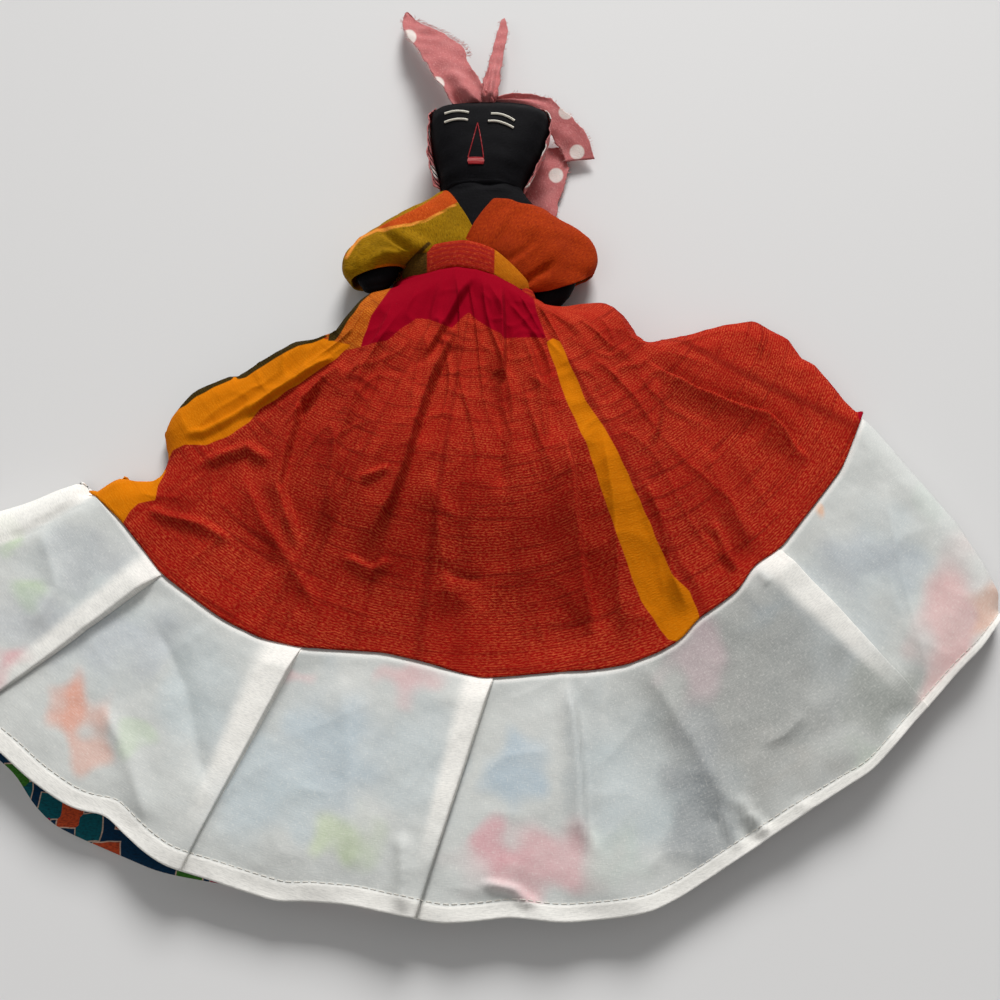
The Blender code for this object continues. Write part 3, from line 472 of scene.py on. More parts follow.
# knife pleats of the flounce: where the fold's edge starts on the seam and ends at the hem, how far
# it stands out there, and the width of the doubled cloth beside it in millimetres
flouncePleats = [
    ((162, 575), (-40, 719), 1.0, 0.10, 11.5),
    ((303, 649), (180, 871), 1.0, 0.30, 14.5),
    ((492, 678), (414, 919), 1.0, 0.75, 11.0),
    ((780, 549), (928, 706), 1.0, 0.15, 13.0),
]


# ridges and steps of the cloth: line traced down the frame, height, width on its left and its right
skirtFolds = [
    ([(474, 272), (452, 312), (434, 345), (420, 368)], 0.0030, 26, 6),
    ([(462, 318), (453, 332), (440, 360), (428, 388), (414, 431), (404, 466), (391, 501), (372, 533), (364, 557)],
     0.0042, 34, 7),
    ([(500, 284), (502, 322), (503, 352), (502, 378), (495, 388)], 0.0036, 22, 5),
    ([(495, 384), (498, 410), (501, 447), (500, 500)], -0.0020, 16, 22),
    ([(410, 300), (386, 338), (364, 372), (348, 421), (337, 447), (332, 482), (329, 528), (321, 555)],
     0.0036, 22, 14),
    ([(330, 366), (316, 388), (300, 405), (289, 442), (284, 458), (278, 488), (287, 514), (300, 560)],
     0.0034, 30, 8),
    ([(340, 356), (318, 368), (296, 384), (270, 399), (240, 421)], 0.0026, 12, 4),
    ([(182, 436), (204, 434), (232, 420), (262, 402)], 0.0014, 6, 6),
    ([(198, 469), (220, 458), (249, 450), (262, 458), (276, 466)], 0.0018, 10, 8),
    ([(142, 510), (171, 520), (204, 528), (235, 545)], 0.0020, 12, 9),
    ([(359, 480), (378, 474), (391, 469)], 0.0012, 8, 6),
    ([(343, 557), (372, 573), (391, 560)], 0.0012, 9, 8),
    ([(520, 330), (528, 352), (540, 390), (546, 450)], 0.0022, 15, 8),
    ([(560, 420), (572, 480), (580, 560), (592, 640)], 0.0040, 36, 7),
    ([(600, 420), (612, 500), (618, 580), (622, 650)], 0.0030, 16, 26),
    ([(640, 362), (661, 376), (692, 393), (723, 405), (740, 411), (765, 418), (782, 435), (793, 451), (812, 464)],
     0.0042, 30, 5),
    ([(653, 380), (658, 398), (657, 423), (650, 450)], 0.0014, 9, 7),
    ([(711, 520), (728, 558), (734, 575)], 0.0016, 10, 7),
    ([(640, 470), (660, 520), (672, 580), (690, 618)], 0.0030, 18, 14),
    ([(700, 440), (716, 480), (742, 530), (752, 556)], 0.0020, 22, 12),
    ([(436, 566), (455, 577), (485, 582)], -0.0010, 12, 12),
    ([(240, 470), (262, 520), (300, 580), (322, 620)], 0.0020, 20, 16),
    ([(430, 470), (440, 540), (452, 620)], 0.0022, 26, 22),
]
flounceFolds = [
    ([(91, 497), (62, 512), (33, 530), (0, 546)], -0.0011, 6, 9),
    ([(756, 572), (768, 588)], 0.0007, 11, 11),
    ([(792, 800), (812, 812)], 0.0009, 12, 12),
    ([(805, 713), (785, 735), (761, 747)], 0.0010, 16, 12),
    ([(735, 795), (752, 820), (768, 840)], 0.0013, 9, 9),
    ([(716, 806), (730, 832), (742, 852)], 0.0011, 7, 8),
    ([(747, 812), (771, 834)], 0.0012, 7, 6),
    ([(480, 882), (515, 890), (538, 909)], 0.0016, 10, 7),
    ([(563, 673), (574, 720), (579, 778), (581, 824), (595, 860)], 0.0028, 22, 8),
    ([(150, 610), (186, 690), (200, 760), (215, 800)], -0.0015, 24, 24),
    ([(640, 660), (690, 740), (740, 830)], 0.0026, 30, 22),
    ([(340, 660), (350, 760), (352, 880)], 0.0016, 40, 40),
    ([(880, 480), (900, 580), (930, 690)], 0.0018, 36, 28),
    ([(40, 520), (60, 590), (30, 640)], 0.0018, 26, 26),
    ([(100, 700), (130, 760), (150, 830)], 0.0018, 22, 22),
    ([(402, 830), (404, 880), (402, 916)], 0.0022, 16, 14),
]


def crownHeight(x, y):  # the spread cloth over the hidden doll
    below = waistPlace - np.asarray(y, float)
    # below the hidden head the profile bends gently: a mean over places above and below
    ease = 0.012 * smooth((below - 0.055) / 0.02)
    middle = np.mean([np.interp(below + s * ease, crownPlaces, crownHeights) for s in np.linspace(-1, 1, 9)], axis=0)
    beside = np.clip(np.abs(x) - skirtChoice["crownHalfWidth"], 0, None) / skirtChoice["crownFall"]
    return skirtChoice["sideHeight"] + (middle - skirtChoice["sideHeight"]) * np.exp(-beside**2)


def onCrown(line, share=1.0):  # places of the frame brought down onto the spread cloth, or to a share of its height
    line = np.asarray(line, float)
    height = np.full(len(line), skirtChoice["sideHeight"])
    for _ in range(6):
        place = fromFrame(line[:, 0], line[:, 1], height * share)
        height = crownHeight(place[:, 0], place[:, 1])
    return place


def easedEnds(line):  # a line across the skirt, which comes down to the side folds at both ends
    gone = runningLength(line)
    away = np.minimum(gone, gone[-1] - gone)
    return onCrown(line, 1 - 0.62 * np.exp(-(away / 16) ** 2))


def eased(line, reach=3):
    return rounded(line, 240, reach)


seamWorld, hemWorld = easedEnds(eased(seamLine)), easedEnds(eased(hemLine))
leftWorld, rightWorld, leftHemWorld, rightHemWorld = (
    onCrown(eased(line, 2), 0.38) for line in (leftEdge, rightEdge, leftFlounceEdge, rightFlounceEdge))
waistWorld = framePlaces(waistLine)
leftWorld[0], rightWorld[0] = waistWorld[0], waistWorld[-1]
leftWorld[-1], rightWorld[-1] = seamWorld[0], seamWorld[-1]
leftHemWorld[0], rightHemWorld[0] = seamWorld[0], seamWorld[-1]
leftHemWorld[-1], rightHemWorld[-1] = hemWorld[0], hemWorld[-1]


def ruledPlace(top, across, down, reach=0.16):  # the cloth above the seam, drawn to its side edges
    share = down[:, None, None]
    place = alongLine(top, across)[None] * (1 - share) + alongLine(seamWorld, across)[None] * share
    for edge, tip, away in ((leftWorld, 0, across), (rightWorld, -1, 1 - across)):
        gap = alongLine(edge, down) - (top[tip] * (1 - share[:, :, 0]) + seamWorld[tip] * share[:, :, 0])
        place = place + gap[:, None] * np.exp(-(away / reach) ** 2)[None, :, None]
    return place


def rollDown(height, x, y, edges, rim, width):  # quarter-round fall of the cloth toward its side folds
    away = np.full(np.shape(x), 1e9)
    for edge in edges:
        away = np.minimum(away, lineDistance(x, y, edge[::5, :2])[0])
    nearWaist = np.exp(-(np.clip(0.026 - y, 0, None) / 0.024) ** 2)
    share = np.clip(away / (width * (1 + 0.5 * nearWaist)), 0, 1)
    return rim + (height - rim) * np.sqrt(np.clip(1 - (1 - share) ** 2, 0, 1))


def frontHeight(grid, lift, folds, rim=0.0016, edges=(leftWorld, rightWorld), waves=1.0):
    x, y = grid[..., 0], grid[..., 1]
    base = crownHeight(x, y)
    px, py = toFrame(np.stack([x, y, base], axis=-1))
    base = base + lift + 0.0012 + creaseLift(px, py, folds)
    below = smooth((np.hypot(x, y - waistPlace) - 0.135) / 0.02)
    base = base + below * (0.0007 * ripple(x, y, 0.075, 33) + 0.00030 * crinkle(x, y, 0.040, 35))
    wave = 0.0007 * ripple(x, y, 0.045, 3) + 0.00035 * ripple(x, y, 0.016, 5) + 0.00012 * ripple(x, y, 0.006, 8)
    return rollDown(base + waves * wave, x, y, edges, rim, skirtChoice["sideRoll"])


def belowWaist(grid, height, drop=0.0):  # the cloth rises gently from the waist seam, also where that lies low
    gone = np.linalg.norm(grid[..., :2] - grid[:1, :, :2], axis=-1)
    limit = grid[:1, :, 2] - drop + 0.0004 + 0.62 * gone
    return -0.0011 * np.logaddexp(-height / 0.0011, -limit / 0.0011)


# colour pieces of the front panel, as places of the frame
crimsonBand = [(400, 262), (440, 250), (500, 246), (532, 272), (533, 296), (537, 312), (546, 338), (530, 338),
               (512, 338), (504, 339), (500, 333), (490, 328), (479, 321), (469, 313), (461, 319), (452, 328),
               (441, 324), (428, 319), (416, 318), (405, 326), (387, 340),
               (373, 343), (361, 347), (367, 329), (371, 316), (380, 303), (393, 286), (396, 276)]
crimsonPatch = [(808, 352), (822, 360), (852, 395), (872, 410), (862, 432), (858, 412), (846, 402), (830, 384)]
orangePiece = [(396, 282), (393, 286), (380, 303), (371, 316), (367, 329), (361, 347), (347, 350), (330, 343),
               (322, 330), (350, 300), (370, 284), (390, 272)]
mustardStripes = [
    [(326, 339), (351, 345), (337, 358), (325, 366), (294, 387), (260, 409), (250, 421), (232, 434), (207, 445),
     (184, 445), (173, 451), (169, 460), (150, 470), (140, 430), (180, 385), (230, 360), (280, 330)],
    [(166, 470), (158, 486), (155, 500), (138, 503), (130, 512), (122, 523), (80, 500), (90, 470), (124, 466),
     (157, 471)],
    [(547, 342), (553, 338), (560, 341), (572, 368), (586, 400), (612, 440), (640, 500), (672, 574), (690, 592),
     (700, 618),
     (684, 642), (668, 640), (640, 600), (612, 520), (585, 440), (566, 400), (555, 366)],
]
oliveEdges = [
    [(372, 291), (369, 295), (360, 304), (350, 317.5), (343, 329), (335, 341), (328, 341), (330, 330), (345, 308)],
    [(328, 336), (312, 343.5), (298, 345.5), (276, 357), (258, 369), (246, 377), (238, 379), (232, 370), (262, 348),
     (296, 330)],
    [(236, 370), (232, 379), (212, 388), (197, 396), (187, 404), (180, 408), (172, 408), (190, 384)],
]
oliveFall = [(380, 286), (384, 300), (352, 330), (330, 352), (250, 390), (182, 420), (166, 408), (200, 360),
             (320, 300)]


def colourAreas(px, py, height):
    wobble = 0.6 * ripple(px, py, 34, 21)
    areas = {"crimsonArea": np.maximum(insideDistance(px, py, crimsonBand), insideDistance(px, py, crimsonPatch)),
             "orangeArea": insideDistance(px, py, orangePiece),
             "mustardArea": np.max([insideDistance(px, py, s) for s in mustardStripes], axis=0),
             "oliveArea": np.max([insideDistance(px, py, s) for s in oliveEdges], axis=0)}
    # down the left side fall the olive piece runs on as far as the table
    fallen = np.minimum((0.0080 - height) * 1600, insideDistance(px, py, oliveFall))
    areas["oliveArea"] = np.maximum(areas["oliveArea"], fallen)
    return {key: value + wobble for key, value in areas.items()}


def clothCoordinates(grid):  # along the weft and across it: the weft runs round the skirt
    x, y = grid[..., 0], grid[..., 1] - waistPlace
    return flatPlace(np.arctan2(x, -y) * 0.13, np.hypot(x, y))


def makePanel(name, grid, finish, values, node):
    panel = makeSheet(name, grid, skirtChoice["thickness"], finish, values, flipped=True)
    standFor(panel, "body", node)


def makeFrontSkirt():
    across = np.linspace(0, 1, skirtChoice["columns"])
    down = np.linspace(0, 1, skirtChoice["rows"]) ** 1.15
    grid = ruledPlace(waistWorld, across, down)
    height = frontHeight(grid, 0.0, skirtFolds, waves=0.45)
    # small flat gathers at the waist seam, which fade below it
    gather = np.sin(2 * np.pi * (across * 13 + 0.35 * np.sin(across * 17))) * 0.00035
    height = height + gather[None] * np.exp(-(down[:, None] / 0.20) ** 2)
    # creases fan out from the waist and the cloth is crushed between them
    fanX, fanY = np.meshgrid(across * 0.30, down * 0.085)
    inner = smooth(down / 0.12)[:, None] * smooth((1 - down) / 0.10)[:, None]
    calm = smooth((down - 0.40) / 0.25)[:, None]  # toward the flounce the cloth lies smoother
    height = height + 0.0011 * inner * (1 - 0.45 * calm) * crinkle(fanX, fanY, 0.030, 51)
    height = height + 0.0005 * inner * (1 - 0.80 * calm) * crinkle(grid[..., 0], grid[..., 1], 0.018, 53)
    height = belowWaist(grid, height)
    hold = smooth(1 - down / 0.030)[:, None]
    grid[..., 2] = height * (1 - hold) + grid[..., 2] * hold
    px, py = toFrame(grid)
    values = {"clothPlace": clothCoordinates(grid), **colourAreas(px, py, grid[..., 2])}
    makePanel("madrasSkirtFront", grid, "madras", values, "skirt_front_a")


makeFrontSkirt()
print("front of the skirt made")


def shareOf(curve, place):  # where along a curve a place of the frame lies
    px, py = toFrame(curve)
    gone = runningLength(curve)
    return float(gone[np.argmin(np.hypot(px - place[0], py - place[1]))] / gone[-1])


# where the pleats' edges lie along the seam and along the hem
seamShares = [0.0] + [shareOf(seamWorld, pleat[0]) for pleat in flouncePleats] + [1.0]
hemShares = [0.0] + [shareOf(hemWorld, pleat[1]) for pleat in flouncePleats] + [1.0]


def flounceRow(seamShare, hemShare, share, hem=hemWorld):  # a row of the cloth below the seam
    held = max(share, 0)
    row = alongLine(seamWorld, seamShare) * (1 - share) + alongLine(hem, hemShare) * share
    for edge, tip, away in ((leftHemWorld, 0, seamShare), (rightHemWorld, -1, 1 - seamShare)):
        gap = alongLine(edge, [held])[0] - (seamWorld[tip] * (1 - held) + hemWorld[tip] * held)
        row += gap * np.exp(-(away / 0.055) ** 2)[:, None]
    return row


def makeFlounce():  # gives the line of its hem stitches
    # the fold under each pleat's edge: place along the seam and height, as the cloth runs round it
    under = [(0.0, 0.97), (0.10, 0.84), (0.14, 0.60), (0.10, 0.36), (0.10, 0.16), (0.22, 0.03), (0.5, 0.0)]
    plain = np.unique(np.concatenate([np.linspace(0, 1, 340), np.linspace(0, 0.02, 14), np.linspace(0.98, 1, 14)]))
    columns = []
    for share in plain:
        for index, at in enumerate(seamShares[1:-1]):
            if len(columns) and columns[-1][0] < at <= share:
                columns += [(at, place / 1000, lift, index) for place, lift in under]
        columns.append((share, 0.0, 0.0, -1))
    base, offset, lift, which = np.array(columns, float).T
    which = which.astype(int)  # the pleat whose fold a column belongs to, or -1
    # the first rows lie under the skirt's edge
    down = np.concatenate([[-0.022, -0.011], np.linspace(0, 1, skirtChoice["flounceRows"])])
    seamLength, hemLength = lineLength(seamWorld), lineLength(hemWorld)
    hemBase = np.interp(base, seamShares, hemShares)
    grid = np.zeros((len(down), len(columns), 3))
    lifts, doubled = np.zeros((len(down), len(columns))), np.zeros((len(down), len(columns)))
    for row, share in enumerate(down):
        length = seamLength * (1 - share) + hemLength * share
        strength = [p[2] * (1 - share) ** 0.8 + p[3] * (1 - (1 - share) ** 0.8) for p in flouncePleats]
        rise = np.zeros(len(columns))
        for index, at in enumerate(seamShares[1:-1]):
            mid = at * (1 - share) + hemShares[index + 1] * share
            place = (base * (1 - share) + hemBase * share - mid) * length * 1000
            before = (place <= 0) & (which < 0)
            rise += np.where(before, strength[index] * smooth((place + 26) / 26) ** 1.3, 0)
            rise -= np.where(place > 0, strength[index] * 0.32 * smooth(place / 3) * smooth((16 - place) / 12), 0)
            wide = flouncePleats[index][4] * (1 - 0.62 * share)
            strip = smooth((wide + place) / (0.45 * wide)) * smooth((0.90 - share) / 0.4)
            doubled[row] = np.maximum(doubled[row], np.where(before | (which == index), strip, 0))
            rise += np.where(which == index, strength[index] * lift, 0)
        shift = offset * np.array(strength + [0.0])[which] / length
        seamShare, hemShare = np.clip(base + shift, 0, 1), np.clip(hemBase + shift, 0, 1)
        if share < 0:  # the rows under the skirt end a little inside its corners
            seamShare, hemShare = 0.004 + 0.992 * seamShare, 0.004 + 0.992 * hemShare
        grid[row] = flounceRow(seamShare, hemShare, share)
        lifts[row] = rise * skirtChoice["pleatHeight"] * (0.12 + 0.88 * smooth(share / 0.12))
    height = frontHeight(grid, 0.0, flounceFolds, edges=(leftHemWorld, rightHemWorld), waves=0.5)
    # the madras seam lies on the flounce's raw edge, and the hem comes down toward the table
    hemFall = smooth((down - 0.80) / 0.20)[:, None] * 0.0012
    length = np.linalg.norm(grid[-1] - grid[2], axis=-1)
    hemWide = 0.001 * np.interp(toFrame(grid[-1])[0], *flounceChoice["hemWidth"])
    folded = smooth((hemWide - (1 - down[:, None]) * length) / 0.0005)
    hemWave = 0.0007 * ripple(grid[..., 0], grid[..., 1], 0.030, 37) * smooth((down - 0.85) / 0.15)[:, None]
    grid[..., 2] = height + lifts - hemFall + folded * 0.00040 + hemWave
    grid[..., 2] -= 0.0008 * smooth(1 - down / 0.03)[:, None] + 0.0008 * smooth(-down / 0.011)[:, None]
    show, amount = liningTintAndShade(*toFrame(grid), down, doubled, folded)
    values = {"clothPlace": clothCoordinates(grid), "liningTintAndShade": show, "showAmount": amount}
    makePanel("lawnFlounceFront", grid, "white", values, "flounce_front_a")
    at = np.interp(1 - (hemWide + 0.0002) / length, down, np.arange(len(down)))
    low, rest = at.astype(int), (at % 1)[:, None]
    columns = np.arange(len(at))
    return grid[low, columns] * (1 - rest) + grid[np.minimum(low + 1, len(down) - 1), columns] * rest


# soft colours where the lining shows through, and broader greys that are painted shade: place, size across and down,
# colour, strength
tintsAndShades = [
    ((955, 630), (34, 70), "DCA6A4", 0.75), ((940, 700), (24, 22), "E2B4B0", 0.6),
    ((985, 612), (16, 24), "E0AC90", 0.7),
    ((535, 862), (64, 34), "D9A2A6", 0.8), ((495, 850), (26, 24), "D48C96", 0.7), ((75, 710), (22, 30), "DE9880", 0.9),
    ((88, 752), (20, 20), "DCA28E", 0.7), ((818, 513), (10, 8), "E2AE8A", 0.9), ((8, 662), (20, 16), "DA9CA0", 0.8),
    ((410, 680), (28, 16), "D8B0B0", 0.8), ((293, 677), (14, 10), "D8B4B4", 0.6), ((712, 668), (28, 32), "C8B2B8", 0.6),
    ((342, 842), (32, 26), "BFCFA8", 0.8), ((30, 598), (18, 16), "A8C690", 0.8), ((2, 534), (14, 16), "B0C89C", 0.7),
    ((133, 738), (18, 14), "BCD0AE", 0.5), ((515, 772), (28, 34), "9FB6C6", 0.7), ((768, 612), (22, 12), "A2B8C8", 0.6),
    ((778, 758), (20, 14), "A6BCC6", 0.6), ((250, 780), (46, 60), "AEBEC6", 0.6), ((330, 750), (50, 60), "A9BBC6", 0.7),
    ((110, 630), (56, 60), "B2BEC2", 0.5), ((640, 780), (56, 70), "ACBCC2", 0.5), ((820, 640), (60, 70), "A9B8C0", 0.5),
    ((200, 690), (40, 60), "ACBCC2", 0.5), ((420, 760), (40, 60), "AFBEC4", 0.5), ((880, 560), (40, 46), "AEBDC3", 0.5),
    ((60, 560), (40, 30), "B6C2C4", 0.4), ((700, 800), (40, 40), "B0BEC2", 0.4), ((610, 860), (30, 30), "B8C8BE", 0.4),
    ((870, 760), (30, 20), "B6C6B2", 0.5), ((300, 800), (30, 30), "B0C0C6", 0.5), ((930, 500), (20, 20), "B8C6BC", 0.3),
    # painted shade: the darker greys from here on darken the cloth at the lower right, at the upper left and beside
    # pleats and folds; they stand partly for the dark lining and partly for shade where the cloth falls away from the
    # lamp
    ((745, 690), (115, 115), "858784", 0.85), ((880, 696), (40, 36), "80857F", 0.8),
    ((700, 800), (30, 90), "80868A", 0.8),
    ((90, 556), (46, 30), "A4A8AC", 0.6), ((585, 760), (16, 90), "A8B0B2", 0.5),
    ((868, 560), (52, 26), "A0A8B0", 0.6), ((700, 660), (26, 44), "B79CA2", 0.6), ((792, 760), (40, 24), "A6A49E", 0.5),
    ((120, 640), (60, 30), "AEB4BC", 0.5), ((30, 620), (40, 30), "B0B4BA", 0.5), ((250, 700), (40, 30), "B0B6B6", 0.5),
]


def liningTintAndShade(px, py, down, doubled, folded):
    shape = np.shape(px)
    show = np.ones(shape + (3,)) * np.array(toLinear("C3C6C3")[:3])
    warpX = px + 13 * ripple(px, py, 60, 31)
    warpY = py + 13 * ripple(px, py, 60, 32)
    for (cx, cy), (wide, tall), colour, strength in tintsAndShades:
        away = np.sqrt(((warpX - cx) / wide) ** 2 + ((warpY - cy) / tall) ** 2)
        weight = strength * smooth(1.45 - away)
        show = show * (1 - weight[..., None]) + np.array(toLinear(colour)[:3]) * weight[..., None]
    amount = 0.90 + 0.06 * ripple(px, py, 110, 36) + 0.02 * ripple(px, py, 30, 38)
    # at the upper left corner the cloth is folded back on itself
    corner = insideDistance(px, py, [(0, 500), (92, 470), (100, 492), (91, 497), (33, 530), (-30, 560), (-60, 520)])
    amount = amount * (1 - 0.92 * doubled) * (1 - 0.85 * smooth((corner + 1.5) / 3))
    amount = amount * (1 - 0.40 * smooth((0.028 - down) / 0.006)[:, None])
    return show, np.clip(amount * (1 - 0.92 * folded), 0, 1)  # doubled cloth at the hem hides the lining


hemStitchLine = makeFlounce()
print("front of the flounce made")


# the linings, which are the other skirt's front and back, and the back of this skirt
def plainGrid(top, hem, inset):  # the cloth above the seam and below it, without pleats
    across = np.linspace(inset, 1 - inset, skirtChoice["liningColumns"])
    upper = ruledPlace(top, across, np.linspace(0, 1, skirtChoice["liningRows"]) ** 1.1)
    hemShare = np.interp(across, seamShares, hemShares)
    lower = [flounceRow(across, hemShare, share, hem)
             for share in np.linspace(0, 1, skirtChoice["liningRows"] // 2)[1:]]
    return upper, np.stack(lower)


def drawIn(grid, amount):  # the side edges pulled in by this much
    across = np.linspace(-1, 1, grid.shape[1])
    pull = np.sign(across) * np.clip((np.abs(across) - 0.55) / 0.45, 0, 1)
    grid[..., 0] -= pull[None] * amount
    return grid


printChoice = {
    "navy": "0B3350",
    "teal": "0E5C66",
    "orange": "C9502C",
    "rose": "A8144A",
    "green": "3E7A28",
    "pale": "D8B9A4",
    "shadow": "14141C",
    "motif": 0.0115,  # metres from one shape of the print to the next
    "yarn": 0.0005,
    "bodiceThickness": 0.0005,
}


def printFinish():
    # printed cotton percale: an even, matt cloth whose dye sits in the surface, angular shapes on navy
    made, tree, shader = startFinish("printed cotton percale", 0.82, 0.02)
    cell = 1 / printChoice["motif"]
    place = clothPlace(tree, cell, cell)
    wander = addNode(tree, "ShaderNodeTexNoise", {"Scale": 1.3, "Detail": 1.0}, {"Vector": place}).outputs["Color"]
    place = mixColour(tree, 0.22, place, wander, "ADD")
    shapes = addNode(tree, "ShaderNodeTexVoronoi", {"distance": "CHEBYCHEV", "voronoi_dimensions": "2D",
                                                    "Scale": 1.0, "Randomness": 0.8}, {"Vector": place})
    pick = addNode(tree, "ShaderNodeSeparateColor", {}, {0: shapes.outputs["Color"]}).outputs[0]
    ramp = addNode(tree, "ShaderNodeValToRGB", {}, {0: pick})
    ramp.color_ramp.interpolation = "CONSTANT"
    stops = [(0.0, "orange"), (0.30, "rose"), (0.55, "green"), (0.74, "teal"), (0.86, "orange")]
    for index, (at, key) in enumerate(stops):
        stop = ramp.color_ramp.elements[index] if index < 2 else ramp.color_ramp.elements.new(at)
        stop.position, stop.color = at, toLinear(printChoice[key])
    colour = shade(tree, shapes.outputs["Distance"], 0.375, 0.360, printChoice["navy"], printChoice["pale"])
    colour = shade(tree, shapes.outputs["Distance"], 0.345, 0.330, colour, ramp.outputs[0])
    weft, warp = crossYarns(tree, 900.0, 1 / printChoice["yarn"])
    colour = shade(tree, weft, 0.58, 0.0, colour, printChoice["shadow"])
    finishCloth(tree, shader, colour, [weft, warp], 0.3, 0.0002)
    return made


finishes["print"] = printFinish()

backHemLine = [(-76, 680), (-44, 722), (-8, 756), (14, 774), (33, 805), (53, 825), (75, 836), (96, 845), (126, 858),
               (156, 871), (182, 877), (210, 882), (245, 888), (280, 895), (320, 899), (360, 905), (402, 911),
               (441, 916), (474, 915), (508, 911), (540, 913), (585, 911), (620, 906), (650, 900), (680, 888),
               (709, 869), (755, 838), (787, 816), (837, 783), (872, 761), (911, 716), (938, 686), (961, 659),
               (984, 637), (996, 612)]


def makeLinings():
    grid = drawIn(np.concatenate(plainGrid(waistWorld, hemWorld, 0.030)), 0.0020)
    height = frontHeight(grid, -0.0016, skirtFolds + flounceFolds, 0.0022)
    down = np.linspace(0, 1, grid.shape[0])[:, None]
    height = belowWaist(grid, height, 0.0020) - 0.0017 * smooth((down - 0.55) / 0.08)
    hold = smooth(1 - down / 0.06)
    grid[..., 2] = height * (1 - hold) + (grid[..., 2] - 0.0022) * hold
    grid[..., 2] -= smooth((down - 0.90) / 0.10) * 0.0030
    across = np.linspace(0, 1, grid.shape[1])
    grid[..., 1] -= (0.0045 + 0.0050 * smooth((across - 0.80) / 0.15)) * smooth(1 - down / 0.07)
    grid[..., 1] += 0.0135 * smooth((down - 0.60) / 0.40)
    values = {"clothPlace": flatPlace(grid[..., 0] + 0.003, grid[..., 1])}
    makePanel("printSkirtFront", grid, "print", values, "skirt_front_b")

    backHem = fromFrame(*np.array(eased(backHemLine)).T, 0.0010)
    top = np.stack([np.linspace(-0.018, 0.018, 40), np.full(40, 0.0175), np.full(40, 0.001)], axis=-1)
    upper, lower = plainGrid(top, backHem, 0.026)
    grid = drawIn(np.concatenate([upper, lower]), 0.0020)
    x, y = grid[..., 0], grid[..., 1]
    grid[..., 2] = 0.0017 + 0.00015 * ripple(x, y, 0.05, 12)
    makePanel("printSkirtBack", grid, "print", {"clothPlace": flatPlace(x, y)}, "skirt_back_b")

    for name, part, finish, node, slotName in (
        ("madrasSkirtBack", upper, "madras", "skirt_back_a", "red_madras"),
        ("lawnFlounceBack", lower, "white", "flounce_back_a", "white_cotton"),
    ):
        part = drawIn(part.copy(), 0.0016)
        part[..., 2] = 0.00085 + 0.0001 * ripple(part[..., 0], part[..., 1], 0.06, 14)
        values = {"clothPlace": clothCoordinates(part)}
        none = 0 * part[..., 0]
        if finish == "madras":
            values.update({key: none - 50 for key in ("crimsonArea", "orangeArea", "mustardArea", "oliveArea")})
        else:
            values["liningTintAndShade"], values["showAmount"] = np.ones(none.shape + (3,)), none
        makePanel(name, part, finish, values, node)


makeLinings()
print("linings and back made")


# stuffed forms and the cloth round them
def squaredCircle(sides, squareness):  # across and up, round a circle with fuller corners
    turn = np.linspace(0, 2 * np.pi, sides, endpoint=False)
    return (np.sign(part) * np.abs(part) ** (2 / squareness) for part in (np.cos(turn), np.sin(turn)))


def loopRings(stations, sides=56, between=6, squareness=2.2):
    # each station is four places: top, front, bottom and back of one ring
    stations = np.asarray(stations, float)
    count = len(stations)
    at = np.linspace(0, count - 1, (count - 1) * between + 1)
    tracks = np.empty((len(at), 4, 3))
    for row, place in enumerate(at):
        i = min(int(place), count - 2)
        t = place - i
        p0, p1, p2, p3 = (stations[min(max(k, 0), count - 1)] for k in (i - 1, i, i + 1, i + 2))
        tracks[row] = 0.5 * (2 * p1 + (p2 - p0) * t + (2 * p0 - 5 * p1 + 4 * p2 - p3) * t**2
                             + (3 * p1 - p0 - 3 * p2 + p3) * t**3)
    c, s = squaredCircle(sides, squareness)
    middle = (tracks[:, 0] + tracks[:, 2]) / 2
    reach = (tracks[:, 0] - tracks[:, 2]) / 2
    front, back = tracks[:, 1] - middle, tracks[:, 3] - middle
    sideways = np.where((s > 0)[None, :, None], front[:, None], back[:, None])
    return middle[:, None] + reach[:, None] * c[None, :, None] + sideways * np.abs(s)[None, :, None]


def stuffedRings(start, end, shares, halfWidth, halfDepth, height, squareness, sides=72, rows=46, middle=0.0):
    # rings along the body, from start to end
    at = np.linspace(0, 1, rows)
    at = 0.5 - 0.5 * np.cos(at * np.pi)
    table = np.asarray(shares, float)
    wide, deep = (smoothTable(at, table[:, 0], table[:, i]) for i in (1, 2))
    c, s = squaredCircle(sides, squareness)
    rings = np.empty((rows, sides, 3))
    middle = smoothTable(at, *np.asarray(middle).T)[:, None] if np.ndim(middle) else middle
    rings[..., 0] = middle + halfWidth * wide[:, None] * c[None]
    rings[..., 1] = (start + (end - start) * at)[:, None]
    rings[..., 2] = height + halfDepth * deep[:, None] * s[None]
    return rings


def smoothTable(at, places, values):  # values between a table's rows, without corners
    rows = np.linspace(0, 1, 401)
    line = np.interp(rows, places, values)
    kernel = np.hanning(39)
    kernel /= kernel.sum()
    line = np.convolve(np.concatenate([np.full(19, line[0]), line, np.full(19, line[-1])]), kernel, "valid")
    return np.interp(at, rows, line)


def closedFaces(rows, sides):
    faces = gridQuads(rows, sides, wrapped=True)
    faces.append(tuple(range(sides))[::-1])
    last = (rows - 1) * sides
    faces.append(tuple(range(last, last + sides)))
    return faces


def outward(made):  # turns a closed mesh's faces outward
    work = bmesh.new()
    work.from_mesh(made.data)
    bmesh.ops.recalc_face_normals(work, faces=work.faces)
    if work.calc_volume(signed=True) < 0:
        bmesh.ops.reverse_faces(work, faces=work.faces)
    work.to_mesh(made.data)
    work.free()
    return made


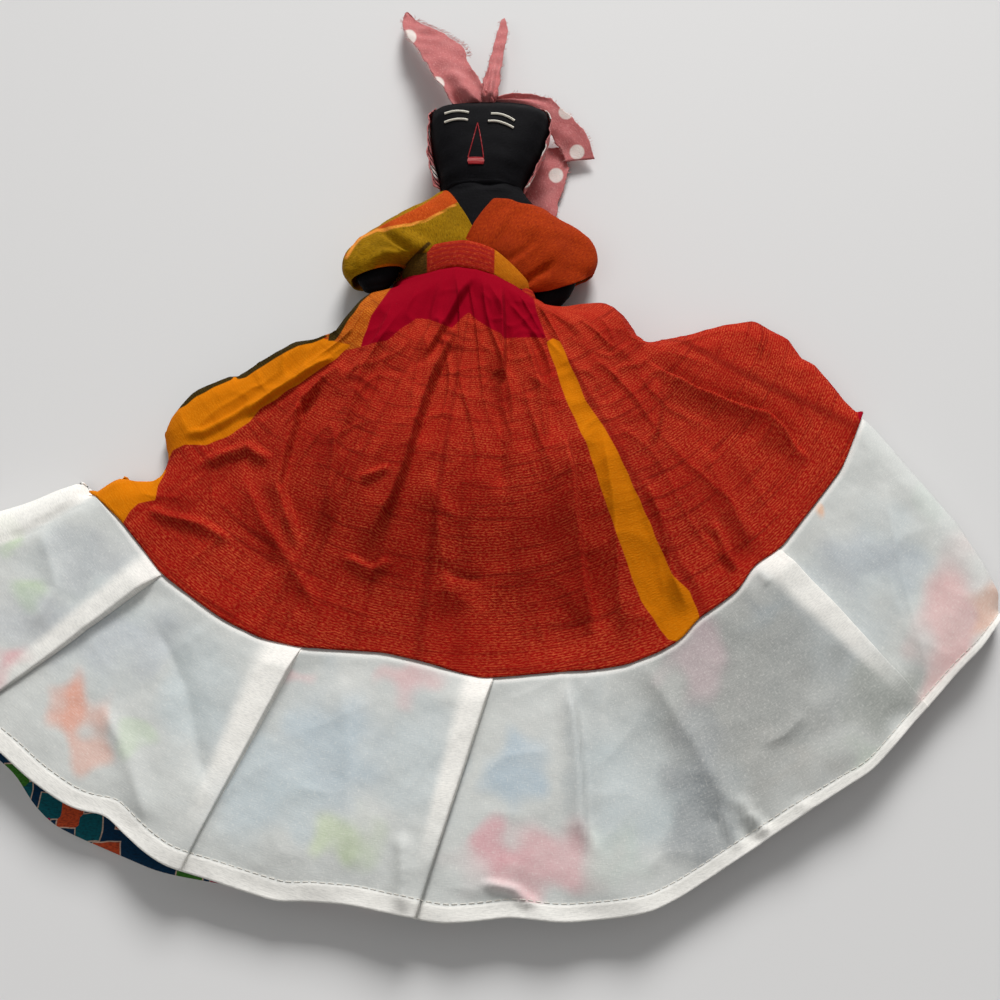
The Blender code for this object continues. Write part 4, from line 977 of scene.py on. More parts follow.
def domeEnds(rings, rows=5, reach=0.0025):  # rounds off both ends of a run of rings
    def dome(ring, away):
        middle = ring.mean(axis=0)
        steps = np.linspace(0, 1, rows + 1)[1:]
        made = [middle + (ring - middle) * math.sqrt(max(1 - s * s, 0.0016)) + away * s for s in steps]
        return np.stack(made)
    first = rings[0].mean(axis=0) - rings[1].mean(axis=0)
    last = rings[-1].mean(axis=0) - rings[-2].mean(axis=0)
    first, last = (v / (np.linalg.norm(v) or 1) * reach for v in (first, last))
    return np.concatenate([dome(rings[0], first)[::-1], rings, dome(rings[-1], last)])


def sateenFinish():
    # black cotton sateen: closely woven and almost without sheen, its threads just a shade lighter
    made, tree, shader = startFinish("black cotton sateen", 0.75)
    weft, warp = crossYarns(tree, 600.0, 1 / dollChoice["yarn"])
    colour = shade(tree, weft, 0.42, 0.28, dollChoice["black"], dollChoice["blackDark"])
    colour = shade(tree, warp, 0.58, 0.75, colour, dollChoice["blackLight"])
    finishCloth(tree, shader, colour, [weft, warp], 0.35, 0.00025)
    return made


def ringCoordinates(grid):  # metres round and along a run of rings
    along = runningLength(grid.mean(axis=1))
    around = np.linalg.norm(np.roll(grid, -1, axis=1) - grid, axis=-1).cumsum(axis=1)
    return flatPlace(around, np.broadcast_to(along[:, None], around.shape))


dollChoice = {
    "headShares": ((0, 0.64, 0.72), (0.1, 0.70, 0.84), (0.2, 0.755, 0.92), (0.4, 0.88, 0.98), (0.64, 0.985, 1),
                   (0.79, 1, 0.98), (0.89, 0.985, 0.74), (0.95, 0.94, 0.48), (1, 0.84, 0.24)),
    "headMiddle": ((0, -0.0010), (0.2, 0.0), (0.4, 0.0008), (0.64, 0.0018), (0.8, 0.0020), (1, 0.0012)),
    "headHalfWidth": 0.0219,
    "headHalfDepth": 0.0124,
    "torsoShares": ((0, 0.78, 0.80), (0.22, 0.92, 0.92), (0.50, 1, 1), (0.62, 0.94, 1), (0.74, 0.78, 1),
                    (0.84, 0.70, 0.97), (1, 0.60, 0.74)),
    "torsoHalfWidth": 0.0200,
    "torsoHalfDepth": 0.0095,
    "black": "0B0A0D",
    "blackDark": "050406",
    "blackLight": "141318",
    "yarn": 0.0005,
    "fill": 0.8,
}
finishes["black"] = sateenFinish()


def puckered(rings, amount, seed, along=0.012):  # small wrinkles pushed out and in
    across = np.gradient(closedRound(rings), axis=1)[:, :-1]
    down = np.gradient(rings, axis=0)
    normal = np.cross(across, down)
    normal /= np.linalg.norm(normal, axis=-1, keepdims=True) + 1e-12
    middle = rings.mean(axis=1, keepdims=True)
    normal *= np.sign((normal * (rings - middle)).sum(axis=-1, keepdims=True).mean())
    x, y = rings[..., 0], rings[..., 1]
    wave = ripple(x, y, along, seed) * 0.7 + ripple(x + rings[..., 2], y, along * 0.45, seed + 1) * 0.3
    return rings + normal * (wave * amount)[..., None]


def makeStuffed(name, rings, body, node):
    rings = domeEnds(rings)
    made = makeMesh(name, rings, closedFaces(*rings.shape[:2]), ["black"], {"clothPlace": ringCoordinates(rings)})
    outward(made)
    standFor(made, body, node)
    return made


def headRings(grow=0.0, sides=72, rows=46):
    return stuffedRings(0.0575, 0.0955, dollChoice["headShares"], dollChoice["headHalfWidth"] + grow,
                        dollChoice["headHalfDepth"] + grow, 0.0135, 2.6, sides, rows, dollChoice["headMiddle"])


def hiddenRings(grow=0.0, sides=72, rows=46):
    return stuffedRings(-0.0112, -0.0492, dollChoice["headShares"], dollChoice["headHalfWidth"] - 0.0008 + grow,
                        dollChoice["headHalfDepth"] - 0.0014 + grow, 0.0157, 2.6, sides, rows)


def makeHeads():
    neck = stuffedRings(0.030, 0.0640, dollChoice["torsoShares"], dollChoice["torsoHalfWidth"],
                        dollChoice["torsoHalfDepth"], 0.0119, 2.5)
    neckLine = np.exp(-((neck[..., 1] - 0.0570) / 0.0045) ** 2)
    neck[..., 2] += 0.00045 * neckLine * ripple(neck[..., 0] * 0.4, neck[..., 1], 0.0042, 63)
    # the neck runs into the chin
    onTop = np.clip((neck[..., 2] - 0.0119) / dollChoice["torsoHalfDepth"], 0, 1)
    neck[..., 2] += 0.0006 * smooth((neck[..., 1] - 0.044) / 0.012) * onTop
    frontHead = makeStuffed("headFront", puckered(headRings(), 0.00022, 67, 0.010), "head_a", "head_a")
    makeStuffed("torsoFront", neck, "body", "torso_a")
    torso = stuffedRings(0.0295, -0.0150, dollChoice["torsoShares"], dollChoice["torsoHalfWidth"],
                         dollChoice["torsoHalfDepth"], 0.0141, 2.5)
    waist = smooth((torso[..., 1] - 0.012) / 0.007)  # the waist between the two dolls is slimmer
    torso[..., 2] = torso[..., 2] * (1 - waist) + (0.0119 + (torso[..., 2] - 0.0141) * 0.95) * waist
    torso[..., 0] *= 1 - 0.15 * smooth((torso[..., 1] + 0.002) / 0.008)
    hiddenHead = makeStuffed("hiddenHead", hiddenRings(), "head_b", "head_b")
    makeStuffed("hiddenTorso", torso, "body", "torso_b")
    return frontHead, hiddenHead


frontHead, hiddenHead = makeHeads()
print("heads and torsos made")


plaidChoice = {
    "olive": ("604400", "966C00", "AA8818"),
    # dark olive, which also serves as painted shadow along the fold of the left sleeve
    "darkOliveAndShade": ("241804", "4A3208", "6A4C14"),
    "stripe": ("983208", "B8440C", "D06A26"),
    "pale": ("C8742A", "E08C34", "F0AA56"),
    "lining": ("985004", "B86604", "D0861C"),
    "orange": ("7C1E04", "A03004", "BC4A10"),
    "band": ("821408", "A8240A", "D06A3A"),
    "bandLine": ("7A0A10", "8E1014", "A82020"),
    "yarn": 0.00036,  # the real thread spacing is about 0.3 mm
    "thickness": 0.0006,
}


def plaidFinish(name, base, areas):
    # yarn-dyed plaid cotton: matt plain weave whose stripes are dyed yarns, so their edges are soft
    made, tree, shader = startFinish(name, 0.88, 0.02, "FFD090")
    weft, warp = crossYarns(tree, 700.0, 1 / plaidChoice["yarn"])
    patch = yarnNoise(tree, 60.0, 60.0)
    total = yarnDyed(tree, plaidChoice[base], weft, warp, patch)
    for area, colour in areas:
        total = paintArea(tree, area, 0.6, total, yarnDyed(tree, plaidChoice[colour], weft, warp, patch))
    finishCloth(tree, shader, total, [weft, warp], 0.5, 0.0003)
    return made


finishes["bodice"] = plaidFinish("yarn-dyed plaid cotton, olive", "olive",
                                 (("stripeArea", "stripe"), ("paleArea", "pale"), ("oliveAndFoldShadeArea", "darkOliveAndShade"),
                                  ("liningArea", "lining")))
finishes["cuffLining"] = plaidFinish("yarn-dyed plaid cotton, mustard inside", "lining", ())
finishes["orangeBodice"] = plaidFinish("yarn-dyed plaid cotton, orange", "orange", (("stripeArea", "stripe"),))
finishes["band"] = plaidFinish("yarn-dyed plaid cotton, waistband", "band",
                               (("lineArea", "bandLine"), ("goldArea", "lining"), ("oliveArea", "darkOliveAndShade")))


bodiceStations = {
    "left": [
        ((352, 284, 8), (374, 269, 16.5), (405, 270, 9.5), (380, 288, 2)),
        ((344, 274, 9), (372, 262, 18), (406, 267, 11), (378, 275, 1)),
        ((345, 255, 10), (377, 251, 19), (413, 263, 12.5), (384, 262, 0.8)),
        ((360, 239, 11), (390, 243, 20), (421, 257, 14), (394, 250, 1)),
        ((383, 224, 12), (405, 238, 21.3), (430, 260, 14.5), (412, 244, 1.2)),
        ((407, 211, 12.5), (424, 233, 22.2), (436, 274, 14), (430, 240, 1.4)),
        ((428, 200, 12.5), (444, 229, 22.6), (452, 278, 14), (448, 236, 1.5)),
        ((440, 193, 13), (462, 226, 22.9), (478, 278, 14), (470, 234, 1.6)),
        ((443, 192, 14), (472, 225, 23.0), (492, 278, 14), (484, 234, 1.6)),
    ],
    "right": [
        ((594, 272, 8), (562, 287, 16.5), (527, 291, 9.5), (560, 292, 2)),
        ((596, 258, 9), (564, 276, 17.5), (516, 294, 11), (562, 284, 1)),
        ((587, 242, 10), (558, 260, 19), (504, 291, 12), (556, 268, 0.8)),
        ((573, 229, 11), (542, 250, 20.4), (497, 288, 13), (542, 256, 1)),
        ((557, 219, 12), (528, 241, 21.7), (494, 284, 14), (528, 248, 1.2)),
        ((540, 209, 12.5), (516, 234, 22.6), (504, 278, 14), (516, 240, 1.4)),
        ((524, 200, 13), (500, 226, 23.0), (494, 279, 14), (502, 238, 1.5)),
        ((515, 197, 14), (483, 225, 23.3), (482, 279, 14), (494, 236, 1.6)),
        ((511, 197, 15), (471, 228, 23.5), (466, 279, 14), (485, 236, 1.6)),
    ],
}


bodiceCreases = {
    "left": [([(376, 231), (384, 233), (395, 241), (405, 247), (416, 249)], -0.0016, 4, 9),
             ([(360, 240), (352, 256), (350, 272)], -0.0008, 7, 7),
             ([(404, 222), (424, 236), (440, 240)], -0.0007, 8, 8),
             ([(372, 262), (384, 252), (402, 256)], 0.0009, 7, 7)],
    "right": [([(553, 262), (538, 272), (520, 284)], -0.0014, 5, 9),
              ([(540, 236), (524, 250), (505, 262)], -0.0008, 7, 7),
              ([(512, 206), (500, 226), (490, 244)], 0.0007, 8, 8)],
}


def stationPlaces(stations):
    return [framePlaces(station) for station in stations]


def joinSleeve(made, rings, side, doll):  # the cloth runs from the body onto the arm
    faceOut(made, rings)
    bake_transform(made)
    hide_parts(f"bodice_{side}_{doll}", f"sleeve_{side}_{doll}")


def makeBodice(side, seed, finish, areas):
    rings = puckered(loopRings(stationPlaces(bodiceStations[side]), 72, 9, 2.35), 0.0006, seed, 0.016)
    px, py = toFrame(rings)
    onTop = smooth((rings[..., 2] - rings[..., 2].mean(axis=1, keepdims=True)) / 0.003)
    rings[..., 2] += creaseLift(px, py, bodiceCreases[side]) * onTop
    under = rings[..., 2] < rings[..., 2].mean(axis=1, keepdims=True) - 0.0010
    values = {"clothPlace": ringCoordinates(rings)}
    values.update({key: np.where(under, -9, area) for key, area in areas(px, py).items()})
    made = makeSheet(f"bodiceAndSleeve_{side}", rings, plaidChoice["thickness"], finish, values,
                     wrapped=True, flipped=side == "left", inner=["cuffLining"])
    joinSleeve(made, rings, side, "a")


def faceOut(made, rings):  # makes an open run of rings face away from its middle
    mesh = made.data
    away = 0
    for polygon in list(mesh.polygons)[::37]:
        row = min(polygon.vertices) // rings.shape[1]
        away += np.dot(np.array(polygon.normal), np.array(polygon.center) - rings[row].mean(axis=0))
    if away < 0:
        mesh.flip_normals()


def leftAreas(px, py):
    thin = [(462, 201), (425, 221), (400, 226), (377, 230), (362, 237), (354, 244), (346, 258)]
    upper = [(441, 191), (420, 204), (380, 224), (358, 238), (347, 252)]
    # along this fold the cloth is painted dark olive: partly a dark olive stripe, partly painted shadow in the gap of
    # the fold
    fold = [(399, 276), (410, 262), (429, 243)]
    away = lineDistance(px, py, thin)[0]
    band = np.minimum(lineDistance(px, py, upper)[0], 60)
    inBand = insideDistance(px, py, [(447, 182), (420, 198), (380, 216), (350, 232), (336, 252), (346, 256),
                                     (354, 242), (362, 236), (377, 229), (400, 225), (425, 220), (462, 200)])
    stripe = np.minimum(inBand, band - 2.0)
    lining = insideDistance(px, py, [(372, 271), (377, 265), (388, 263), (398, 264), (407, 266), (407, 280),
                                      (388, 280)])
    return {"stripeArea": stripe, "paleArea": 1.3 - away, "oliveAndFoldShadeArea": 2.0 - lineDistance(px, py, fold)[0],
            "liningArea": lining}


def rightAreas(px, py):
    return {"stripeArea": -9 + 0 * px}


makeBodice("left", 41, "bodice", leftAreas)
makeBodice("right", 47, "orangeBodice", rightAreas)
print("bodice and sleeves made")

armStations = {
    "left": [
        ((424, 213, 12), (428, 225, 16.5), (432, 238, 12), (428, 227, 7)),
        ((400, 226, 11), (408, 238, 15.5), (418, 252, 11), (408, 240, 5.5)),
        ((372, 248, 10), (388, 256, 15), (405, 262, 10), (388, 258, 4.8)),
        ((358, 268, 9.8), (378, 269, 14.6), (400, 269, 9.8), (378, 274, 4)),
        ((357, 280, 9.4), (377, 279, 14), (398, 276, 9.4), (377, 284, 4)),
        ((362, 287, 9), (376, 286, 12.5), (393, 283, 9), (376, 289, 5)),
    ],
    "right": [
        ((540, 213, 12), (541, 225, 16.5), (538, 239, 12), (541, 227, 7)),
        ((562, 230, 11), (552, 242, 15.5), (541, 254, 11), (552, 244, 5.5)),
        ((576, 252, 10), (557, 262, 15), (536, 268, 10), (557, 262, 4.8)),
        ((577, 276, 9.8), (555, 282, 14.6), (531, 284, 9.8), (555, 282, 4)),
        ((572, 293, 9.4), (552, 297, 14), (529, 297, 9.4), (552, 298, 4)),
        ((563, 303, 9), (549, 306, 12.5), (533, 305, 9), (549, 306, 5)),
    ],
}
for side in ("left", "right"):
    rings = puckered(loopRings(stationPlaces(armStations[side]), 48, 7, 2.1), 0.00025, 61, 0.009)
    makeStuffed(f"arm_{side}", rings, f"arm_{side}_a", f"arm_{side}_a")


# waistband, arched at the front: top and bottom edge with their heights
bandTop = [(404, 268, 8), (407, 259, 13), (413, 253, 17), (427, 246, 21), (445, 242, 23.4), (464, 239.5, 24.4),
           (480, 243, 24.4), (495, 249, 23.8), (510, 262, 22.6), (520, 272, 21), (528, 281, 17.5), (532, 287, 11)]
bandBottom = [(402, 281, 7), (405, 280, 11), (414, 278, 16), (428, 274.5, 20.5), (442, 268.5, 23.2), (456, 266, 24.4),
              (475, 269, 24.4), (494, 275, 23.6), (510, 285, 22), (519, 291, 20.5), (527, 297, 17), (531, 300, 10)]


bandLines = (0.16, 0.34, 0.52, 0.70, 0.88)  # the woven lines, as shares of the band's height


def finishBand(name, rings, down, gold, olive, doll):
    lines = 0.9 - np.min([np.abs(down - at) for at in bandLines], axis=0) * 22
    values = {"clothPlace": ringCoordinates(rings), "goldArea": gold, "oliveArea": olive, "lineArea": lines}
    band = makeSheet(name, rings, plaidChoice["thickness"], "band", values, wrapped=True)
    faceOut(band, rings)
    standFor(band, "body", f"waistband_{doll}")


def makeBand():
    edges = []
    for line, y in ((bandTop, 0.0325), (bandBottom, 0.0205)):
        front = framePlaces(rounded(line, 60, 3))
        right, left = front[-1], front[0]
        back = np.array([[right[0] + 0.0010, y, 0.0045], [0.0200, y, 0.0018], [0.0, y, 0.0012],
                         [-0.0200, y, 0.0018], [left[0] - 0.0010, y, 0.0045]])
        back = rounded(np.concatenate([right[None], back, left[None]]), 60, 3)
        edges.append(np.concatenate([front, back[1:-1]]))
    share = np.linspace(0, 1, 12)[:, None, None]
    rings = edges[0][None] * (1 - share) + edges[1][None] * share
    swell = np.sin(np.pi * share) * 0.0007
    middle = rings.mean(axis=1, keepdims=True)
    flat = (rings - middle) * np.array([1, 0, 1])
    rings = rings + flat / np.linalg.norm(flat, axis=-1, keepdims=True) * swell
    px, py = toFrame(rings)
    gold = insideDistance(px, py, [(495, 236), (545, 260), (545, 312), (516, 312), (494, 290)])
    olive = insideDistance(px, py, [(396, 250), (427, 240), (427, 280), (396, 290)])
    under = rings[..., 2] < 0.008
    gold, olive = np.where(under, -9, gold), np.where(under, -9, olive)
    finishBand("waistbandFront", rings, np.broadcast_to(share[..., 0], px.shape), gold, olive, "a")


makeBand()
print("arms and waistband made")


# kerchiefs, torn voile with dots
voileChoice = {
    "base": "B86D6C",
    "dark": "AC5D5E",
    "light": "CC8B89",
    "dot": "DCCFC8",
    "dotRadius": 0.0026,
    "dotSpacing": 0.0165,
    "threads": 2300.0,  # to the metre
    "thickness": 0.0004,
    "backLength": 0.078,  # of the strip round the back of a head
    "knotFill": 0.9,
}


def voileFinish():
    # cotton voile: thin, open plain weave, matt and slightly see-through; the dots are printed on it
    made, tree, shader = startFinish("dotted cotton voile", 0.88, 0.03, "FFC8C4")
    weft, warp = crossYarns(tree, 700.0, voileChoice["threads"])
    patch = yarnNoise(tree, 70.0, 70.0)
    colour = shade(tree, weft, 0.45, 0.28, voileChoice["base"], voileChoice["dark"])
    colour = shade(tree, warp, 0.55, 0.74, colour, voileChoice["light"])
    colour = shade(tree, patch, 0.5, 0.9, colour, voileChoice["light"])
    colour = shade(tree, stored(tree, "dotEdge")["Fac"], -0.0003, 0.0002, colour, voileChoice["dot"])
    finishCloth(tree, shader, colour, [weft, warp], 0.5, 0.00025)
    for key, value in (("Weight", 0.12), ("Radius", (0.004, 0.0015, 0.0012)), ("Scale", 0.5)):
        shader.inputs[f"Subsurface {key}"].default_value = value
    return made


finishes["voile"] = voileFinish()


ribbonEdges = []  # ribbons whose torn edges fray
kerchiefStrips = {}


def dotLattice(u, v, shiftU, shiftV):  # distance inside the nearest dot of a half-drop lattice
    step = voileChoice["dotSpacing"]
    best = np.full(np.shape(u), 1e9)
    for drop in (0.0, 0.5):
        a = (u - shiftU) / step + drop
        b = (v - shiftV) / step + drop
        away = np.hypot(a - np.round(a), b - np.round(b)) * step
        best = np.minimum(best, away)
    return voileChoice["dotRadius"] - best


def startRibbon(left, right, rows, columns):  # cloth between two edges, and its place when it lies flat
    left, right = rounded(left, rows, 2), rounded(right, rows, 2)
    share = np.linspace(0, 1, columns)[None, :, None]
    grid = left[:, None] * (1 - share) + right[:, None] * share
    width = np.linalg.norm(right - left, axis=1)
    across = share[..., 0] - 0.5
    u = across * width[:, None]
    v = np.broadcast_to(runningLength((left + right) / 2)[:, None], u.shape)
    return grid, across, u, v, (right - left) / (width[:, None] + 1e-9)


def endRibbon(name, grid, u, v, spots, body, node):
    values = {"clothPlace": flatPlace(u, v), "dotEdge": spots}
    ribbon = makeSheet(name, grid, voileChoice["thickness"], "voile", values)
    standFor(ribbon, body, node)
    ribbonEdges.append((name, grid, body))


def makeRibbon(name, leftLine, rightLine, node, rows, columns, fold, frayed, seed, dots):
    grid, across, u, v, cross = startRibbon(framePlaces(leftLine), framePlaces(rightLine), rows, columns)
    dice = np.random.default_rng(seed)
    ragged = np.convolve(dice.normal(0, 1, rows + 4), [0.2, 0.2, 0.2, 0.2, 0.2], "valid")
    edge = np.sign(across) * np.clip(np.abs(across) * 2, 0, 1) ** 6
    grid = grid + cross[:, None] * (edge * ragged[:, None] * frayed)[..., None]
    wave = np.cos(np.pi * 3 * across) * fold * np.exp(-(v / 0.020) ** 2)
    grid[..., 2] += wave + 0.0005 * ripple(u, v, 0.012, seed + 3)
    px, py = toFrame(grid)
    spots = [voileChoice["dotRadius"] - np.hypot(px - cx, py - cy) * 0.00036 for cx, cy in dots]
    endRibbon(name, grid, u, v, np.max(spots + [-1 + 0 * px], axis=0), "head_a", node)


def makeKnot(name, stations, amount, seed, doll):
    knot = puckered(loopRings(stations, 40, 8, 2.2), amount, seed, 0.004)
    made = makeMesh(name, knot, closedFaces(*knot.shape[:2]), ["voile"],
                    {"clothPlace": ringCoordinates(knot), "dotEdge": -1 + 0 * knot[..., 0]})
    outward(made)
    standFor(made, f"head_{doll}", f"kerchief_knot_{doll}")


def makeKerchiefBack(name, strip, shiftU, shiftV, doll):
    v = strip[..., 1]
    u = np.linspace(0, 1, strip.shape[1])[None, :] * voileChoice["backLength"] + 0 * v
    values = {"clothPlace": flatPlace(u, v), "dotEdge": dotLattice(u, v, shiftU, shiftV)}
    made = makeSheet(name, strip, voileChoice["thickness"], "voile", values)
    standFor(made, f"head_{doll}", f"kerchief_{doll}")


def backStrip(rings, low, high):  # the part of a head's shape that its kerchief covers, round the back
    rows = (rings[:, 0, 1] > low) & (rings[:, 0, 1] < high)
    return np.concatenate([rings, rings[:, :10]], axis=1)[rows][:, 74:167]


def makeFrontKerchief():
    strip = backStrip(headRings(0.0004, 160, 110), 0.0592, 0.0950)
    strip[..., 2] = np.maximum(strip[..., 2], 0.0006) + 0.0001
    share = np.linspace(0, 1, strip.shape[1])[None, :]
    v = strip[..., 1]
    u = share * voileChoice["backLength"] + 0 * v
    # its edges stand off the head at both sides
    flap = np.exp(-(share / 0.035) ** 2) + np.exp(-((1 - share) / 0.035) ** 2)
    low = smooth((0.088 - v) / 0.025)
    reach = 0.0004 + 0.0026 * low * (share < 0.5) + 0.0014 * low * (share >= 0.5)
    strip[..., 0] += np.sign(strip[..., 0]) * flap * (reach + 0.0004 * ripple(u, v, 0.008, 71))
    kerchiefStrips["front"] = strip
    makeKerchiefBack("kerchiefBackFront", strip, 0.003, 0, "a")

    makeKnot("kerchiefKnotFront",
             [[(-0.0035, 0.1030, 0.0135), (-0.0035, 0.1028, 0.0150), (-0.0035, 0.1022, 0.0135),
               (-0.0035, 0.1028, 0.0120)],
              [(-0.0030, 0.1065, 0.0135), (-0.0026, 0.1030, 0.0160), (-0.0030, 0.0990, 0.0135),
               (-0.0026, 0.1028, 0.0098)],
              [(0.0, 0.1074, 0.0135), (0.0002, 0.1034, 0.0164), (0.0, 0.0984, 0.0135), (0.0, 0.1028, 0.0094)],
              [(0.0032, 0.1066, 0.0135), (0.0028, 0.1030, 0.0158), (0.0032, 0.0992, 0.0135), (0.0028, 0.1028, 0.0099)],
              [(0.0038, 0.1032, 0.0135), (0.0038, 0.1028, 0.0150), (0.0038, 0.1024, 0.0135), (0.0038, 0.1028, 0.0120)]],
             0.0005, 77, "a")

    makeRibbon("kerchiefEndWide", [(462, 110, 12), (453, 104, 15), (446, 91, 17), (433, 75, 15), (418, 50, 11),
                                   (403, 28, 7), (402, 20, 5), (406, 12, 4)],
               [(496, 109, 13), (493, 100, 18), (484, 86, 18), (471, 66, 14.5), (463, 45, 11), (440, 33, 8),
                (421, 23, 6), (408, 13, 4)], "kerchief_end_wide_a", 80, 30, 0.0020, 0.0007, 5, [(409, 37), (437, 84)])
    makeRibbon("kerchiefEndNarrow", [(483, 106, 15), (483, 93, 19.5), (485, 78, 17), (491, 57, 13), (496, 38, 9.5),
                                     (498, 27, 7), (502, 19, 5.5)],
               [(493, 107, 14), (497, 94, 18.5), (499, 80, 16), (502, 62, 12), (506, 40, 9), (509, 28, 6.5),
                (504, 18, 5.5)], "kerchief_end_narrow_a", 60, 16, 0.0012, 0.0005, 6, [])
    makeRibbon("kerchiefLoop", [(489, 100, 15), (498, 98, 16.5), (512, 94, 15), (530, 93, 12.5), (550, 98, 10),
                                (572, 116, 7), (588, 138, 5), (594, 158, 3.5)],
               [(489, 106, 12), (500, 108, 13), (512, 110, 13), (524, 113, 11), (538, 122, 9), (552, 136, 6.5),
                (562, 150, 4.5), (566, 162, 3.2)], "kerchief_loop_a", 70, 24, 0.0016, 0.0005, 8,
               [(577, 152), (566, 112)])
    makeRibbon("kerchiefTail", [(548, 148, 2.2), (541, 165, 2.2), (531, 180, 2.0), (524, 195, 1.8), (521, 214, 1.6),
                                (524, 232, 1.4)],
               [(566, 150, 2.0), (568, 168, 1.8), (565, 184, 1.7), (560, 200, 1.5), (556, 218, 1.4), (548, 236, 1.3)],
               "kerchief_tail_a", 50, 20, 0.0003, 0.0006, 9, [(556, 176), (535, 222)])


makeFrontKerchief()
print("kerchief made")


# the hidden doll, made the same way, head toward the hem
def mirrored(stations, side):
    return [[(side * x / 1000, y / 1000, z / 1000) for x, y, z in station] for station in stations]


hiddenBodice = [
    ((39.8, -20.6, 11.2), (44.5, -14.8, 16.6), (49.0, -8.9, 11.2), (44.5, -14.8, 5.4)),
    ((35.0, -16.8, 11.8), (39.4, -11.4, 17.0), (43.6, -5.8, 11.8), (39.4, -11.0, 5.0)),
    ((30.0, -14.0, 12.4), (33.0, -7.6, 18.0), (34.8, -1.6, 12.4), (33.0, -7.0, 4.6)),
    ((25.0, -12.0, 13.2), (26.0, -3.8, 18.6), (26.4, 2.0, 12.8), (26.0, -3.0, 4.2)),
    ((20.0, -11.4, 14.0), (19.6, -1.6, 21.2), (20.6, 6.6, 12.6), (19.6, -0.4, 3.8)),
    ((15.0, -11.2, 14.1), (12.6, 0.4, 23.8), (14.0, 11.6, 13.4), (12.6, 1.4, 3.4)),
    ((9.6, -11.0, 14.6), (5.6, -0.4, 24.9), (7.0, 14.0, 14.0), (6.0, 2.2, 3.2)),
    ((7.6, -10.8, 15.6), (0.6, -1.0, 25.1), (0.2, 14.6, 14.0), (0.3, 2.2, 3.2)),
]
hiddenArm = [
    ((21.2, -6.2, 13.8), (20.8, -0.4, 18.0), (21.4, 5.4, 13.8), (20.8, -0.4, 9.4)),
    ((27.6, -9.4, 12.2), (30.8, -4.8, 16.0), (33.8, -0.4, 12.2), (30.8, -4.8, 8.2)),
    ((36.8, -16.2, 10.2), (40.4, -11.6, 13.6), (43.8, -7.2, 10.2), (40.4, -11.6, 6.4)),
    ((43.2, -20.6, 9.0), (46.2, -16.4, 12.0), (49.4, -12.4, 9.0), (46.2, -16.4, 6.0)),
    ((46.2, -22.0, 8.6), (48.8, -18.4, 11.0), (51.4, -15.2, 8.6), (48.8, -18.4, 6.2)),
]


def makeHiddenDoll():
    for side, name in ((-1, "left"), (1, "right")):
        rings = puckered(loopRings(mirrored(hiddenBodice, side), 56, 8, 2.35), 0.0004, 91 + side, 0.014)
        made = makeSheet(f"hiddenBodiceAndSleeve_{name}", rings, printChoice["bodiceThickness"], "print",
                         {"clothPlace": ringCoordinates(rings)}, wrapped=True)
        joinSleeve(made, rings, name, "b")
        rings = puckered(loopRings(mirrored(hiddenArm, side), 40, 6, 2.1), 0.0002, 95 + side, 0.009)
        makeStuffed(f"hiddenArm_{name}", rings, f"arm_{name}_b", f"arm_{name}_b")

    c, s = squaredCircle(110, 2.5)
    rows = np.linspace(0, 1, 10)[:, None]
    rings = np.empty((10, 110, 3))
    rings[..., 0] = c[None] * (0.0178 + 0.0006 * np.sin(np.pi * rows))
    rings[..., 1] = 0.0075 + 0.0088 * rows - 0.0016 * np.clip(s, 0, 1)[None]
    rings[..., 2] = 0.0141 - 0.0019 * rows + s[None] * (0.0106 - 0.0012 * rows)
    down = np.broadcast_to(rows, rings.shape[:2])
    finishBand("waistbandHidden", rings, down, -9 + 0 * down, -9 + 0 * down, "b")

    strip = backStrip(hiddenRings(0.0004, 160, 110), -0.0486, -0.0170)
    kerchiefStrips["hidden"] = strip
    makeKerchiefBack("kerchiefBackHidden", strip, 0.006, 0.003, "b")
    stations = []
    for x, half, deep in ((-3.8, 0.8, 1.5), (-3.0, 3.6, 3.4), (0.0, 4.3, 3.6), (3.0, 3.6, 3.4), (3.8, 0.8, 1.5)):
        stations.append([(x / 1000, (-56.4 - half) / 1000, 0.0157), (x / 1000, -0.0564, (15.7 + deep) / 1000),
                         (x / 1000, (-56.4 + half) / 1000, 0.0157), (x / 1000, -0.0564, (15.7 - deep) / 1000)])
    makeKnot("kerchiefKnotHidden", stations, 0.0004, 99, "b")
    for side, name in ((-1, "left"), (1, "right")):
        inner = [(side * 0.0008, -0.0590, 0.0162), (side * 0.0014, -0.0650, 0.0140), (side * 0.0034, -0.0740, 0.0090),
                 (side * 0.0072, -0.0840, 0.0046)]
        outer = [(side * 0.0030, -0.0585, 0.0158), (side * 0.0088, -0.0630, 0.0132), (side * 0.0136, -0.0700, 0.0086),
                 (side * 0.0168, -0.0800, 0.0042)]
        grid, _, u, v, _ = startRibbon(inner, outer, 44, 18)
        grid[..., 2] += 0.0004 * ripple(u, v, 0.012, 100 + side)
        endRibbon(f"kerchiefEndHidden_{name}", grid, u, v, dotLattice(u, v, 0.004, 0.002), "head_b",
                  f"kerchief_end_{name}_b")


makeHiddenDoll()
print("hidden doll made")


# threads: faces, stitches and frayed edges
stitchChoice = {
    "hemThick": 0.00030,
    "whipThick": 0.00030,
    "frayThick": 0.00010,
    "frayLength": 0.0012,
    "fringeLength": 0.0026,
    "lowest": 0.0004,  # frayed threads stay above the table
}
threadChoice = {
    "ivory": "F6F0E0",
    "red": "A00A16",
    "scarlet": "C01420",
    # rose is a painted highlight, used on the mouth's satin stitch
    "rose": "E0706E",
    "black": "121014",
    "white": "E9E4DA",
    "pink": "E0A4A2",
}


